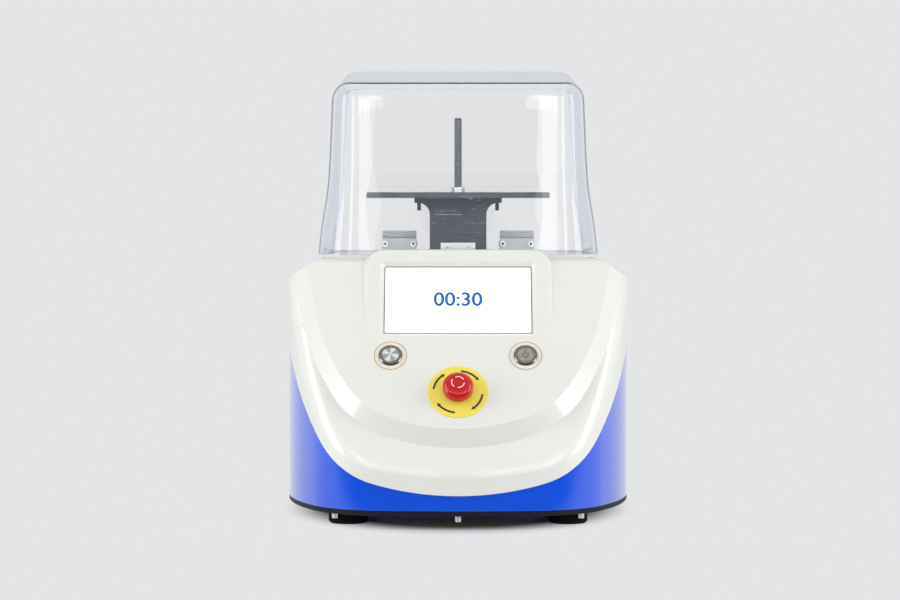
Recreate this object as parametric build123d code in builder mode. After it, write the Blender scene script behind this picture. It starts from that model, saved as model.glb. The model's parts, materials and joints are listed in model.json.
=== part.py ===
from build123d import *
import os
from math import asin, cos, degrees, radians, sin, sqrt, tan

# Bench homogenizer with a clear hinged lid over a platform that shakes up and down.
# Millimetres. X to the right, Y to the rear, Z up. The origin lies under the middle, on the bench.

os.makedirs("parts", exist_ok=True)

# Housing: overall size and the three arcs of each half of its outline
body_width = 368
body_depth = 470
front_radius = 650
corner_radius = 92
side_radius = 300
front_turn = 7
rear_corner = 40
foot_height = 14
base_thickness = 5.5
deck_level = 276
shell_wall = 3
crease_radius = 18
rear_round = 15
deck_round = 20

# Sloped shoulders beside the lid
shoulder_reach = 34
shoulder_drop = 24
shoulder_round = 25
shoulder_edge = 18

# Apron of the upper shell, seen from the front
apron_foot = 35.4
apron_radii = (330, 90, 300)
apron_first_turn = 16
apron_side_gap = 4
apron_proud = 2.5
lip_height = 8
lip_overlap = 10
lip_wall = 3
lip_clearance = 0.3

# Raised control plateau with its bevel
panel_angle = 36
plateau_foot = 103.3
plateau_setback = 14
bevel = 14.4
plateau_radii = (185, 97, 290)
plateau_first_turn = 22
plateau_last_turn = 79
plateau_side_gap = 33.5
plateau_reach = 130
plateau_root = 20

# Hump round the screen
hump_angle = 33.5
hump_foot = 190
hump_height = 97
hump_width = 200
hump_corner = 22
hump_edge = 5
hump_depth = 32
screen_rise = 44.5
recess_width = 166
recess_height = 91
recess_corner = 7
recess_depth = 4
recess_slope = 45
glass_width = 154.6
glass_height = 80.9
glass_corner = 2.5
glass_thickness = 2.5
glass_sink = 0.4
gasket_width = 1.1
screen_boss = 7
boss_margin = 7
module_thickness = 9
module_margin = 5

# Buttons
button_drop = 14.8
button_spacing = 141.2
button_bore = 22.4
button_barrel = 22
button_length = 24
button_flange = 25
button_flange_height = 2.2
button_cap = 17.4
button_cap_height = 3
button_travel = 2
button_stem = 8
groove_width = 0.7
cap_edge_groove = 7.3
cap_inner_groove = 4.6
groove_depth = 0.4
ring_diameter = 34.4
ring_thickness = 0.6
nut_flats = 27
nut_height = 4
running_gap = 0.05

# Emergency stop
stop_rise = 35.7
stop_plate = 62.5
stop_plate_thickness = 1.2
stop_collar = 24
stop_collar_height = 3.5
stop_stem = 14
stop_spigot = 10
stop_spigot_height = 5
stop_travel = 5
stop_head_clear = 0.5
stop_head = 32
stop_head_height = 11.5
stop_skirt = 3.7
stop_skirt_gap = 1
stop_head_round = 6
stop_skirt_round = 1
stop_block = 30
stop_block_height = 32

# Lid
lid_setback = 30.5
lid_gap = 2
hinge_space = 40
dome_side_gap = 30.7
dome_foot = 279
dome_wall = 4
dome_corner = 46
flare_foot_lean = 4.5
flare_lean = 10.5
flare_height = 54
waist_height = 39
dome_lean = 2.6
dome_edge = 21
dome_slope = 6.3
dome_crown_level = 477
seal_width = 6.5
seal_gap = 0.5
tray_thickness = 2

# Lid hinge
hinge_spacing = 138
hinge_reach = 12
hinge_z = 287
hinge_width = 40
knuckle_radius = 6
hinge_pin = 6
pin_end = 1
knuckle_length = 10
knuckle_gap = 0.5
hinge_base = 24
hinge_base_thickness = 4
hinge_base_lead = 1
leaf_height = 18
leaf_drop = 3
leaf_root = 1
leaf_thickness = 3.5
clamp_thickness = 4
clamp_height = 13
lid_screw = 4
lid_screw_head = 7
lid_screw_head_height = 2.2
lid_screw_spacing = 33
lid_screw_drop = 0.5
lid_draft = 1

# Lid latch
striker_width = 37.5
striker_height = 11.5
striker_thickness = 11
striker_lift = 1
striker_screw_spacing = 24
tongue_width = 18
tongue_thickness = 6
tongue_drop = 25
tongue_window = 12
tongue_window_height = 10
bolt_width = 10
bolt_height = 8
bolt_travel = 8
bolt_clear = 4
bolt_length = 40
bolt_end_gap = 1
latch_width = 50
latch_depth = 28
latch_height = 27
latch_gap = 2.5
solenoid_length = 46
solenoid_width = 26
solenoid_height = 20

# Platform and its bracket
platform_width = 202
platform_depth = 144
platform_thickness = 6
platform_level = 340
pocket_width = 86.5
pocket_length = 128.8
pocket_depth = 2
pocket_spacing = 101.5
pocket_corner = 4
column_width = 63.5
column_depth = 40
bracket_width = 98
bracket_shoulder = 5.5
bracket_fillet = 13
bracket_screw = 4
bracket_screw_head = 8
bracket_screw_tail = 8.5
bracket_screw_spacing = 88
bracket_screw_pitch = 24
screw_root = 1
stud = 8
stud_height = 84
stud_grip = 8
stud_nut_flats = 13
stud_nut_height = 6.5
column_gap = 4.5
wiper_gap = 0.3
wiper_wall = 3
wiper_height = 4
wiper_flange = 8
wiper_flange_thickness = 2

# Crank drive
crank_z = 92
crank_throw = 16
rod_length = 95
rod_thickness = 16
rod_gap = 1
rod_small_end = 26
rod_big_end = 34
rod_shank = 14
wrist_pin_diameter = 12
crank_pin_diameter = 14
crank_pin_reach = 1
crank_pin_gap = 0.5
crank_disc_diameter = 72
crank_disc_thickness = 14
crank_hole = 9
crank_hole_circle = 50
crankshaft_diameter = 20
bearing_diameter = 42
bearing_width = 12
plate_gap = 5.5
plate_pitch = 40
plate_half_width = 40
pulley_gap = 6
pulley_width = 20
pulley_flange = 2
driven_pulley_diameter = 60
motor_pulley_diameter = 40
belt_thickness = 3
belt_width = 15
belt_gap = 0.3

# Guides
crosshead_width = 150
crosshead_height = 40
crosshead_below_pin = 11
crosshead_slot = 32
crosshead_slot_rise = 17
guide_diameter = 16
guide_spacing = 110
bush_diameter = 26
bush_flange = 32
bush_flange_height = 2
guide_plate_width = 140
guide_plate_thickness = 10
guide_plate_clearance = 11
shelf_level = 142
shelf_depth = 54
shelf_slot = 48

# Motor and drive base
motor_diameter = 88
motor_length = 110
motor_cap_length = 14
motor_shaft_diameter = 14
motor_shaft_grip = 30
motor_shaft_gap = 1
motor_fins = 18
motor_fin_height = 3
motor_box = 44
motor_box_height = 5
motor_pilot = 32
motor_plate_margin = 11
drive_base_thickness = 8
drive_base_front = 45
drive_base_rear = 117
drive_base_margin = 5
drive_side_gap = 14
isolator_height = 10
isolator_diameter = 28
isolator_inset = 20

# Electrics and rear side
supply_size = (70, 150, 40)
supply_side_gap = 14
supply_rear_gap = 45
supply_base_gap = 18
supply_slot = 5
supply_slot_depth = 2
board_size = (160, 130, 1.6)
board_front_gap = 45
connector_height = 10
chip_height = 3
capacitor_radius = 6
capacitor_height = 16
standoff_height = 10
standoff_diameter = 7
standoff_spacing_x = 146
standoff_spacing_y = 116
rear_panel_width = 240
rear_panel_height = 100
rear_panel_thickness = 2
rear_panel_overlap = 5
rear_panel_level = 93
fan_x = 75
fan_size = 60
fan_corner = 4
fan_depth = 15
fan_bore = 56
fan_hub = 24
fan_blades = 7
fan_axle = 4
fan_strut = 2.5
fan_clearance = 1
fan_blade_chord = 11
fan_blade_thickness = 1.2
fan_blade_pitch = 38
fan_slot_count = 7
fan_slot_pitch = 7.5
inlet_x = -80
inlet_flange = (50, 28, 3)
inlet_corner = 4
inlet_body = (30, 22, 24)
inlet_mouth = (24.5, 16.5, 17)
inlet_pin = (2, 4, 11)
inlet_pin_pitch = 7

# Feet and base screws
foot_diameter = 41.5
foot_chamfer = 2
foot_side_inset = 69
foot_front_inset = 74
foot_rear_inset = 60
base_screw_head = 7
base_screw_head_height = 7
base_screw_socket = 3.5
base_screw_margin = 16
corner_screw_turn = 52

# Places worked out from the sizes above
front_y = -body_depth / 2
rear_y = body_depth / 2
base_top = foot_height + base_thickness
foot_x = body_width / 2 - foot_side_inset
panel_normal = (0, -cos(radians(panel_angle)), sin(radians(panel_angle)))
panel_axis = Axis((0, 0, 0), panel_normal)
panel = Plane(origin=(0, front_y + plateau_setback, plateau_foot), x_dir=(1, 0, 0), z_dir=panel_normal)
hump_root_y = front_y + plateau_setback + (hump_foot - plateau_foot) * tan(radians(panel_angle))
hump_normal = (0, -cos(radians(hump_angle)), sin(radians(hump_angle)))
hump_face = Plane(origin=(0, hump_root_y, hump_foot), x_dir=(1, 0, 0), z_dir=hump_normal)
screen_v = screen_rise / cos(radians(hump_angle))
button_v = (hump_foot - button_drop - plateau_foot) / cos(radians(panel_angle))
stop_v = stop_rise / cos(radians(panel_angle))
slope_top_y = front_y + plateau_setback + (deck_level - plateau_foot) * tan(radians(panel_angle))
hump_rear_y = hump_root_y + hump_height * tan(radians(hump_angle)) + hump_depth * cos(radians(hump_angle))
dome_front_y = max(slope_top_y + lid_setback, hump_rear_y + lid_gap)
dome_rear_y = rear_y - hinge_space
chamber_y = (dome_front_y + dome_rear_y) / 2
dome_half_x = body_width / 2 - dome_side_gap
dome_half_y = (dome_rear_y - dome_front_y) / 2
hinge_y = dome_rear_y + hinge_reach
dome_top = Plane(origin=(0, chamber_y, dome_crown_level), x_dir=(1, 0, 0),
                 z_dir=(0, -sin(radians(dome_slope)), cos(radians(dome_slope))))
crank_pin_z = crank_z - crank_throw
wrist_z = crank_pin_z + rod_length
crosshead_low = wrist_z - crosshead_below_pin
crosshead_top = crosshead_low + crosshead_height
disc_front_y = chamber_y + rod_thickness / 2 + rod_gap + crank_pin_gap
disc_rear_y = disc_front_y + crank_disc_thickness
front_plate_y = disc_rear_y + plate_gap
rear_plate_y = front_plate_y + plate_pitch
pulley_y = rear_plate_y + bearing_width + pulley_gap
shaft_end_y = pulley_y + pulley_width + pulley_gap / 2
belt_centre = (body_width - motor_diameter) / 2 - drive_side_gap - drive_base_margin - motor_plate_margin
drive_base_low = base_top + isolator_height
drive_base_top = drive_base_low + drive_base_thickness
guide_plate_low = deck_level - shell_wall - guide_plate_clearance - guide_plate_thickness
guide_plate_top = guide_plate_low + guide_plate_thickness


def arc_point(centre, radius, turn):
    return centre[0] + radius * sin(radians(turn)), centre[1] - radius * cos(radians(turn))


def bowl_centres(foot, radii, turns):
    centres = [(0, foot + radii[0])]
    for step in (0, 1):
        centres.append(arc_point(centres[-1], radii[step] - radii[step + 1], turns[step]))
    return centres


# Three tangent arcs to each side of the lowest point, as a plan, an apron or a panel has them
def bowl(foot, radii, turns, grow=0):
    centres = bowl_centres(foot, radii, turns)
    end = arc_point(centres[0], radii[0] + grow, turns[0])
    ThreePointArc((-end[0], end[1]), (0, foot - grow), end)
    for step in (1, 2):
        stops = (turns[step - 1], (turns[step - 1] + turns[step]) / 2, turns[step])
        points = [arc_point(centres[step], radii[step] + grow, turn) for turn in stops]
        ThreePointArc(*points)
        ThreePointArc(*[(-x, y) for x, y in points])
    return points[-1]


# The turns of a bowl whose last arc ends at a given distance from the middle
def bowl_turns(radii, first_turn, last_turn, reach):
    middle = (radii[0] - radii[1]) * sin(radians(first_turn))
    end = radii[2] * sin(radians(last_turn))
    return first_turn, degrees(asin((middle + end - reach) / (radii[2] - radii[1]))), last_turn


plan_radii = (front_radius, corner_radius, side_radius)
plan_turns = bowl_turns(plan_radii, front_turn, 90, body_width / 2)
apron_turns = bowl_turns(apron_radii, apron_first_turn, 90, body_width / 2 + apron_side_gap)
plateau_turns = bowl_turns(plateau_radii, plateau_first_turn, plateau_last_turn,
                           body_width / 2 - plateau_side_gap)


def plan_outline(level, inset, setback=0):
    rear = rear_y - inset
    with BuildSketch(Plane.XY.offset(level)) as outline:
        with BuildLine():
            side, low = bowl(front_y + setback, plan_radii, plan_turns, -inset)
            Polyline((side, low), (side, rear), (-side, rear), (-side, low))
        make_face()
        fillet(outline.vertices().group_by(Axis.Y)[-1], rear_corner - inset)
    return outline.sketch


# Front view of the housing's envelope: flat deck, sloped shoulders, upright sides
def shoulder_outline(inset):
    half = body_width / 2 + 1
    flat = body_width / 2 - shoulder_reach
    edge = deck_level - shoulder_drop
    with BuildSketch(Plane.XZ) as outline:
        with BuildLine():
            Polyline((-half, 0), (half, 0), (half, edge), (flat, deck_level), (-flat, deck_level),
                     (-half, edge), (-half, 0))
        make_face()
        fillet(outline.vertices().group_by(Axis.Y)[-1], shoulder_round)
        fillet(outline.vertices().filter_by(lambda corner: abs(corner.Y - edge) < 0.01), shoulder_edge)
        if inset:
            offset(amount=-inset)
    return outline.sketch


# Side view: the plateau's slope, the deck behind it and the rounded rear edge
def slope_outline(inset):
    rise = tan(radians(panel_angle))
    top = deck_level - inset
    foot_y = front_y + plateau_setback + inset / cos(radians(panel_angle)) - plateau_foot * rise
    with BuildSketch(Plane.YZ) as outline:
        with BuildLine():
            Polyline((foot_y, 0), (rear_y - inset, 0), (rear_y - inset, top), (foot_y + top * rise, top),
                     (foot_y, 0))
        make_face()
        top_corners = outline.vertices().group_by(Axis.Y)[-1].sort_by(Axis.X)
        fillet(top_corners[0], deck_round - inset)
        fillet(outline.vertices().group_by(Axis.Y)[-1].sort_by(Axis.X)[-1], rear_round - inset)
    return outline.sketch


def plateau_form(inset):
    grow = bevel - inset * (sqrt(2) - 1)
    with BuildPart() as form:
        with BuildSketch(panel.offset(-inset)):
            with BuildLine():
                side, low = bowl(0, plateau_radii, plateau_turns, grow)
                far = side + plateau_reach / tan(radians(plateau_turns[2]))
                Polyline((side, low), (far, low + plateau_reach), (-far, low + plateau_reach), (-side, low))
            make_face()
        extrude(amount=-(bevel + plateau_root))
        chamfer(form.faces().sort_by(panel_axis)[-1].edges(), bevel)
        extrude(plan_outline(0, inset), amount=deck_level, mode=Mode.INTERSECT)
    return form.part


def hump_form(inset):
    height = hump_height / cos(radians(hump_angle)) - inset
    with BuildPart() as form:
        with BuildSketch(hump_face.offset(-inset)) as outline:
            with Locations((0, height / 2)):
                Rectangle(hump_width - 2 * inset, height)
            fillet(outline.vertices().group_by(Axis.Y)[-1], hump_corner - inset)
        extrude(amount=-hump_depth)
        front = form.faces().sort_by(Axis((0, 0, 0), hump_normal))[-1]
        fillet(front.edges().filter_by(lambda edge: edge.center().Z > hump_foot + 1), hump_edge - inset)
    return form.part


def housing_form(inset):
    top = deck_level - inset
    with BuildPart() as form:
        extrude(plan_outline(0, inset), amount=top)
        split(bisect_by=panel.offset(-bevel - inset), keep=Keep.BOTTOM)
        slope = form.faces().sort_by(panel_axis)[-1]
        fillet(slope.edges().filter_by(lambda edge: edge.center().Z < top - 1), crease_radius - inset)
        add(plateau_form(inset))
        extrude(shoulder_outline(inset), amount=body_depth, both=True, mode=Mode.INTERSECT)
        extrude(slope_outline(inset), amount=body_width, both=True, mode=Mode.INTERSECT)
        add(hump_form(inset))
    return form.part


# Everything above the line where the two shells meet, with that line raised by lift
def apron_zone(lift=0):
    centre = bowl_centres(apron_foot + lift, apron_radii, apron_turns)[-1]
    side_y = bowl_centres(front_y, plan_radii, plan_turns)[-1][1]
    half = body_width / 2
    side_level = centre[1] - sqrt(apron_radii[2] ** 2 - (half - centre[0]) ** 2)
    ceiling = 2 * deck_level
    with BuildPart() as zone:
        with BuildSketch(Plane.XZ.offset(-side_y)):
            with BuildLine():
                side, low = bowl(apron_foot + lift, apron_radii, apron_turns)
                Polyline((side, low), (side, ceiling), (-side, ceiling), (-side, low))
            make_face()
        extrude(amount=body_depth)
        with BuildSketch(Plane.XY.offset(side_level)):
            with Locations((0, side_y)):
                Rectangle(2 * body_width, body_depth, align=(Align.CENTER, Align.MIN))
        extrude(amount=ceiling - side_level)
    return zone.part


# The lid's wall seen from the edge: it flares at the foot and then rises nearly straight
def wall_outline(plane, foot):
    ceiling = dome_crown_level + dome_half_y * tan(radians(dome_slope)) + dome_edge
    foot_lean, lean, top_lean = radians(flare_foot_lean), radians(flare_lean), radians(dome_lean)
    flare_radius = flare_height / (sin(lean) - sin(foot_lean))
    waist_radius = waist_height / (sin(lean) - sin(top_lean))
    flare = (foot - flare_radius * (cos(foot_lean) - cos(lean)), dome_foot + flare_height)
    waist = (flare[0] - waist_radius * (cos(top_lean) - cos(lean)), flare[1] + waist_height)
    with BuildSketch(plane) as outline:
        with BuildLine():
            TangentArc((foot, dome_foot), flare, tangent=(-sin(foot_lean), cos(foot_lean)))
            TangentArc(flare, waist, tangent=(-sin(lean), cos(lean)))
            Polyline(waist, (waist[0] - (ceiling - waist[1]) * tan(top_lean), ceiling), (0, ceiling),
                     (0, dome_foot), (foot, dome_foot))
        make_face()
    return outline.sketch


def dome_form(inset):
    corner = dome_corner - inset
    reach_x = dome_half_x - dome_corner
    reach_y = dome_half_y - dome_corner
    with BuildPart() as form:
        extrude(wall_outline(Plane.XZ.offset(-chamber_y), reach_x + corner), amount=reach_y, both=True)
        extrude(wall_outline(Plane.YZ * Pos(chamber_y, 0), reach_y + corner), amount=reach_x, both=True)
        mirror(about=Plane.YZ)
        mirror(about=Plane.XZ.offset(-chamber_y))
        for x in (-reach_x, reach_x):
            for y in (chamber_y - reach_y, chamber_y + reach_y):
                corner_plane = Plane.XZ.offset(-y) * Pos(x, 0)
                revolve(wall_outline(corner_plane, corner), axis=Axis((x, y, 0), (0, 0, 1)))
        if inset:
            extrude(form.faces().sort_by(Axis.Z)[0], amount=dome_wall)
        split(bisect_by=dome_top.offset(-inset), keep=Keep.BOTTOM)
        fillet(form.faces().sort_by(Axis.Z)[-1].edges(), dome_edge - inset)
    return form.part


def dome_footprint(level, inset):
    with BuildSketch(Plane.XY.offset(level)) as outline:
        with Locations((0, chamber_y)):
            RectangleRounded(2 * (dome_half_x - inset), 2 * (dome_half_y - inset), dome_corner - inset)
    return outline.sketch


def column_outline(level, gap):
    with BuildSketch(Plane.XY.offset(level)) as outline:
        with Locations((0, chamber_y)):
            Rectangle(column_width + 2 * gap, column_depth + 2 * gap)
    return outline.sketch


def tongue_slot(level):
    with BuildSketch(Plane.XY.offset(level)) as outline:
        with Locations((0, tongue_y)):
            Rectangle(tongue_width + 2 * latch_gap, tongue_thickness + 2 * latch_gap)
    return outline.sketch


# Round bars that lie along Y, from one depth to another
def bars_along_y(places, radius, start, stop):
    with BuildPart() as bars:
        with BuildSketch(Plane.XZ.offset(-stop)):
            with Locations(*places):
                Circle(radius)
        extrude(amount=stop - start)
    return bars.part


def disc_along_y(centre_x, centre_z, radius, start, stop):
    return bars_along_y([(centre_x, centre_z)], radius, start, stop)


def disc_along_x(centre_y, centre_z, radius, start, stop):
    with BuildPart() as disc:
        with BuildSketch(Plane.YZ.offset(start)):
            with Locations((centre_y, centre_z)):
                Circle(radius)
        extrude(amount=stop - start)
    return disc.part


def block(low, high):
    size = [b - a for a, b in zip(low, high)]
    with BuildPart() as solid:
        with Locations(low):
            Box(*size, align=(Align.MIN, Align.MIN, Align.MIN))
    return solid.part


inner_dome = dome_form(dome_wall)
outer_dome = dome_form(0)
striker_y = dome_front_y + dome_wall
tongue_y = dome_front_y + seal_width + latch_gap + tongue_thickness / 2
bolt_z = dome_foot - tongue_drop + tongue_window_height
lid_screw_z = hinge_z - lid_screw_drop
striker_low = dome_foot + striker_lift
striker_screw_z = striker_low + striker_height / 2
button_places = [(-button_spacing / 2, button_v), (button_spacing / 2, button_v)]
board_low = base_top + standoff_height
board_y = front_y + board_front_gap + board_size[1] / 2
supply_x = body_width / 2 - supply_side_gap - supply_size[0] / 2
supply_y = rear_y - supply_rear_gap - supply_size[1] / 2
board_top = board_low + board_size[2]

# Base
with BuildPart() as base_plate:
    extrude(plan_outline(foot_height, 0, apron_proud), amount=base_thickness)
    chamfer(base_plate.faces().sort_by(Axis.Z)[0].edges(), 1)
    with BuildSketch(Plane.XY.offset(base_top)):
        with Locations((0, board_y)):
            with GridLocations(standoff_spacing_x, standoff_spacing_y, 2, 2):
                Circle(standoff_diameter / 2)
    extrude(amount=standoff_height)

foot_places = [(side * foot_x, y) for side in (-1, 1)
               for y in (front_y + foot_front_inset, rear_y - foot_rear_inset)]
with BuildPart() as feet:
    with BuildSketch():
        with Locations(*foot_places):
            Circle(foot_diameter / 2)
    extrude(amount=foot_height)
    chamfer(feet.faces().sort_by(Axis.Z)[:4].edges(), foot_chamfer)

plan_centres = bowl_centres(front_y + apron_proud, plan_radii, plan_turns)
corner_screw = arc_point(plan_centres[1], corner_radius - base_screw_margin, corner_screw_turn)
side_screw = (body_width / 2 - base_screw_margin, plan_centres[2][1] + body_depth / 5)
screw_places = [(0, front_y + apron_proud + base_screw_margin), (0, rear_y - base_screw_margin)]
for place in (corner_screw, side_screw, (foot_x, rear_y - base_screw_margin)):
    screw_places += [place, (-place[0], place[1])]
with BuildPart() as base_screws:
    with BuildSketch(Plane.XY.offset(foot_height)):
        with Locations(*screw_places):
            Circle(base_screw_head / 2)
    extrude(amount=-base_screw_head_height)
    with BuildSketch(Plane.XY.offset(foot_height - base_screw_head_height)):
        with Locations(*screw_places):
            RegularPolygon(base_screw_socket / 2, 6)
    extrude(amount=base_screw_socket, mode=Mode.SUBTRACT)

# Lower shell: a skirt on the base plate, with a lip that rises inside the upper shell
skirt_wall = shell_wall + lip_clearance + 1
skirt_height = deck_level - base_top
with BuildPart() as skirt:
    extrude(plan_outline(base_top, 0, apron_proud), amount=skirt_height)
    extrude(plan_outline(base_top, skirt_wall, apron_proud), amount=skirt_height, mode=Mode.SUBTRACT)
    add(apron_zone(), mode=Mode.SUBTRACT)

with BuildPart() as lower_shell:
    lip_outer = shell_wall + lip_clearance
    extrude(plan_outline(base_top, lip_outer, apron_proud), amount=skirt_height)
    extrude(plan_outline(base_top, lip_outer + lip_wall, apron_proud), amount=skirt_height,
            mode=Mode.SUBTRACT)
    add(apron_zone(lip_height), mode=Mode.SUBTRACT)
    add(apron_zone(-lip_overlap), mode=Mode.INTERSECT)
    add(skirt.part)
    with BuildSketch(Plane.XZ.offset(-rear_y)):
        with Locations((0, rear_panel_level)):
            RectangleRounded(rear_panel_width - 2 * rear_panel_overlap,
                             rear_panel_height - 2 * rear_panel_overlap, rear_panel_overlap)
    extrude(amount=2 * skirt_wall, mode=Mode.SUBTRACT)

# Upper shell: one moulding with the apron, the plateau, the hump and the deck
with BuildPart() as upper_shell:
    add(housing_form(0))
    add(housing_form(shell_wall), mode=Mode.SUBTRACT)
    with BuildSketch(hump_face.offset(-recess_depth - screen_boss)):
        with Locations((0, screen_v)):
            Rectangle(recess_width + 2 * boss_margin, recess_height + 2 * boss_margin)
    extrude(amount=recess_depth + screen_boss - shell_wall / 2)
    with BuildSketch(hump_face):
        with Locations((0, screen_v)):
            RectangleRounded(recess_width, recess_height, recess_corner)
    extrude(amount=-recess_depth, taper=recess_slope, mode=Mode.SUBTRACT)
    with BuildSketch(hump_face):
        with Locations((0, screen_v)):
            RectangleRounded(recess_width, recess_height, recess_corner)
    extrude(amount=2 * recess_depth, mode=Mode.SUBTRACT)
    with BuildSketch(hump_face):
        with Locations((0, screen_v)):
            RectangleRounded(glass_width + 2 * gasket_width, glass_height + 2 * gasket_width, glass_corner)
    extrude(amount=-2 * hump_depth, mode=Mode.SUBTRACT)
    with BuildSketch(panel):
        with Locations(*button_places, (0, stop_v)):
            Circle(button_bore / 2)
    extrude(amount=-2 * shell_wall, mode=Mode.SUBTRACT)
    extrude(column_outline(deck_level, column_gap), amount=-2 * shell_wall, mode=Mode.SUBTRACT)
    extrude(tongue_slot(deck_level), amount=-2 * shell_wall, mode=Mode.SUBTRACT)
    add(apron_zone(), mode=Mode.INTERSECT)

# Touch screen: glass in the window, bonded to the display module behind the boss
def screen_sketch(depth, margin, corner):
    with BuildSketch(hump_face.offset(-depth)) as outline:
        with Locations((0, screen_v)):
            RectangleRounded(glass_width + 2 * margin, glass_height + 2 * margin, corner)
    return outline.sketch


glass_depth = recess_depth + glass_sink
boss_depth = recess_depth + screen_boss
with BuildPart() as touch_screen:
    extrude(screen_sketch(glass_depth, 0, glass_corner - gasket_width), amount=-glass_thickness)
    extrude(screen_sketch(glass_depth, -gasket_width, gasket_width), amount=glass_depth - boss_depth)
    extrude(screen_sketch(boss_depth, module_margin, glass_corner), amount=-module_thickness)

with BuildPart() as screen_gasket:
    extrude(screen_sketch(recess_depth, gasket_width, glass_corner), amount=-screen_boss)
    extrude(screen_sketch(recess_depth, 0, glass_corner - gasket_width), amount=-screen_boss,
            mode=Mode.SUBTRACT)

# Push buttons: a printed ring, a flanged barrel, a cap that travels in it and a nut behind the panel
with BuildPart() as button_rings:
    with BuildSketch(panel):
        with Locations(*button_places):
            Circle(ring_diameter / 2)
            Circle(button_bore / 2, mode=Mode.SUBTRACT)
    extrude(amount=ring_thickness)


def button_discs(depth, radius):
    with BuildSketch(panel.offset(depth)) as discs:
        with Locations(*button_places):
            Circle(radius)
    return discs.sketch


button_top = ring_thickness + button_flange_height
cap_top = button_top - 2 * running_gap
cap_low = cap_top - button_cap_height
pocket_low = cap_low - 2 * button_travel
with BuildPart() as button_bezels:
    extrude(button_discs(ring_thickness, button_flange / 2), amount=button_flange_height)
    chamfer(button_bezels.faces().group_by(panel_axis)[-1].edges(), button_flange_height / 2)
    extrude(button_discs(ring_thickness, button_barrel / 2), amount=-button_length)
    extrude(button_discs(button_top, button_cap / 2 + 2 * running_gap), amount=pocket_low - button_top,
            mode=Mode.SUBTRACT)
    extrude(button_discs(pocket_low, button_stem / 2 + running_gap), amount=-button_length / 2,
            mode=Mode.SUBTRACT)

with BuildPart() as button_nuts:
    with BuildSketch(panel.offset(-shell_wall)):
        with Locations(*button_places):
            RegularPolygon(nut_flats / sqrt(3), 6)
            Circle(button_barrel / 2, mode=Mode.SUBTRACT)
    extrude(amount=-nut_height)


def button_cap_form(place, groove_radii):
    with BuildPart() as cap:
        with BuildSketch(panel.offset(cap_low)):
            with Locations(place):
                Circle(button_cap / 2)
        extrude(amount=button_cap_height)
        with BuildSketch(panel.offset(cap_low)):
            with Locations(place):
                Circle(button_stem / 2)
        extrude(amount=-button_length / 2)
        with BuildSketch(panel.offset(cap_top)):
            with Locations(place):
                for radius in groove_radii:
                    Circle(radius + groove_width)
                    Circle(radius, mode=Mode.SUBTRACT)
        extrude(amount=-groove_depth, mode=Mode.SUBTRACT)
    return cap.part


with BuildPart() as unlock_cap:
    add(button_cap_form(button_places[0], [cap_edge_groove]))

with BuildPart() as power_cap:
    add(button_cap_form(button_places[1], [cap_edge_groove, cap_inner_groove]))

# Emergency stop: yellow plate, collar, sprung stem, mushroom head and the contacts behind
stop_place = (0, stop_v)
collar_top = stop_plate_thickness + stop_collar_height
head_seat = collar_top + stop_travel + stop_head_clear
head_low = head_seat - stop_skirt
with BuildPart() as estop_plate:
    with BuildSketch(panel):
        with Locations(stop_place):
            Circle(stop_plate / 2)
            Circle(button_bore / 2, mode=Mode.SUBTRACT)
    extrude(amount=stop_plate_thickness)

with BuildPart() as estop_collar:
    with BuildSketch(panel.offset(stop_plate_thickness)):
        with Locations(stop_place):
            Circle(stop_collar / 2)
    extrude(amount=stop_collar_height)
    chamfer(estop_collar.faces().sort_by(panel_axis)[-1].edges(), stop_collar_height / 4)
    with BuildSketch(panel.offset(stop_plate_thickness)):
        with Locations(stop_place):
            Circle(button_barrel / 2)
    extrude(amount=-stop_plate_thickness - shell_wall)
    with BuildSketch(panel.offset(collar_top)):
        with Locations(stop_place):
            Circle(stop_stem / 2 + running_gap)
    extrude(amount=-2 * collar_top, mode=Mode.SUBTRACT)

with BuildPart() as estop_contacts:
    with BuildSketch(panel.offset(-shell_wall)):
        with Locations(stop_place):
            Rectangle(stop_block, stop_block)
    extrude(amount=-stop_block_height)
    with BuildSketch(panel.offset(-shell_wall)):
        with Locations(stop_place):
            Circle(stop_stem / 2 + running_gap)
    extrude(amount=-stop_block_height + shell_wall, mode=Mode.SUBTRACT)

with BuildPart() as estop_stem:
    with BuildSketch(panel.offset(head_seat)):
        with Locations(stop_place):
            Circle(stop_stem / 2)
    extrude(amount=-head_seat - stop_block_height + shell_wall + stop_travel)
    with BuildSketch(panel.offset(head_seat)):
        with Locations(stop_place):
            Circle(stop_spigot / 2)
    extrude(amount=stop_spigot_height)

with BuildPart() as estop_head:
    with BuildSketch(panel.offset(head_low)):
        with Locations(stop_place):
            Circle(stop_head / 2)
    extrude(amount=stop_head_height)
    fillet(estop_head.faces().sort_by(panel_axis)[-1].edges(), stop_head_round)
    fillet(estop_head.faces().sort_by(panel_axis)[0].edges(), stop_skirt_round)
    with BuildSketch(panel.offset(head_low)):
        with Locations(stop_place):
            Circle(stop_collar / 2 + stop_skirt_gap)
    extrude(amount=stop_skirt, mode=Mode.SUBTRACT)
    with BuildSketch(panel.offset(head_seat)):
        with Locations(stop_place):
            Circle(stop_spigot / 2 + running_gap)
    extrude(amount=stop_spigot_height + running_gap, mode=Mode.SUBTRACT)

# Chamber: tray plate, wiper round the column and the lid's seal
with BuildPart() as lid_seal:
    extrude(dome_footprint(deck_level, 0), amount=dome_foot - deck_level)
    extrude(dome_footprint(deck_level, seal_width), amount=dome_foot - deck_level, mode=Mode.SUBTRACT)

with BuildPart() as chamber_tray:
    extrude(dome_footprint(deck_level, seal_width + seal_gap), amount=tray_thickness)
    extrude(column_outline(deck_level, column_gap), amount=tray_thickness, mode=Mode.SUBTRACT)
    extrude(tongue_slot(deck_level), amount=tray_thickness, mode=Mode.SUBTRACT)

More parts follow.
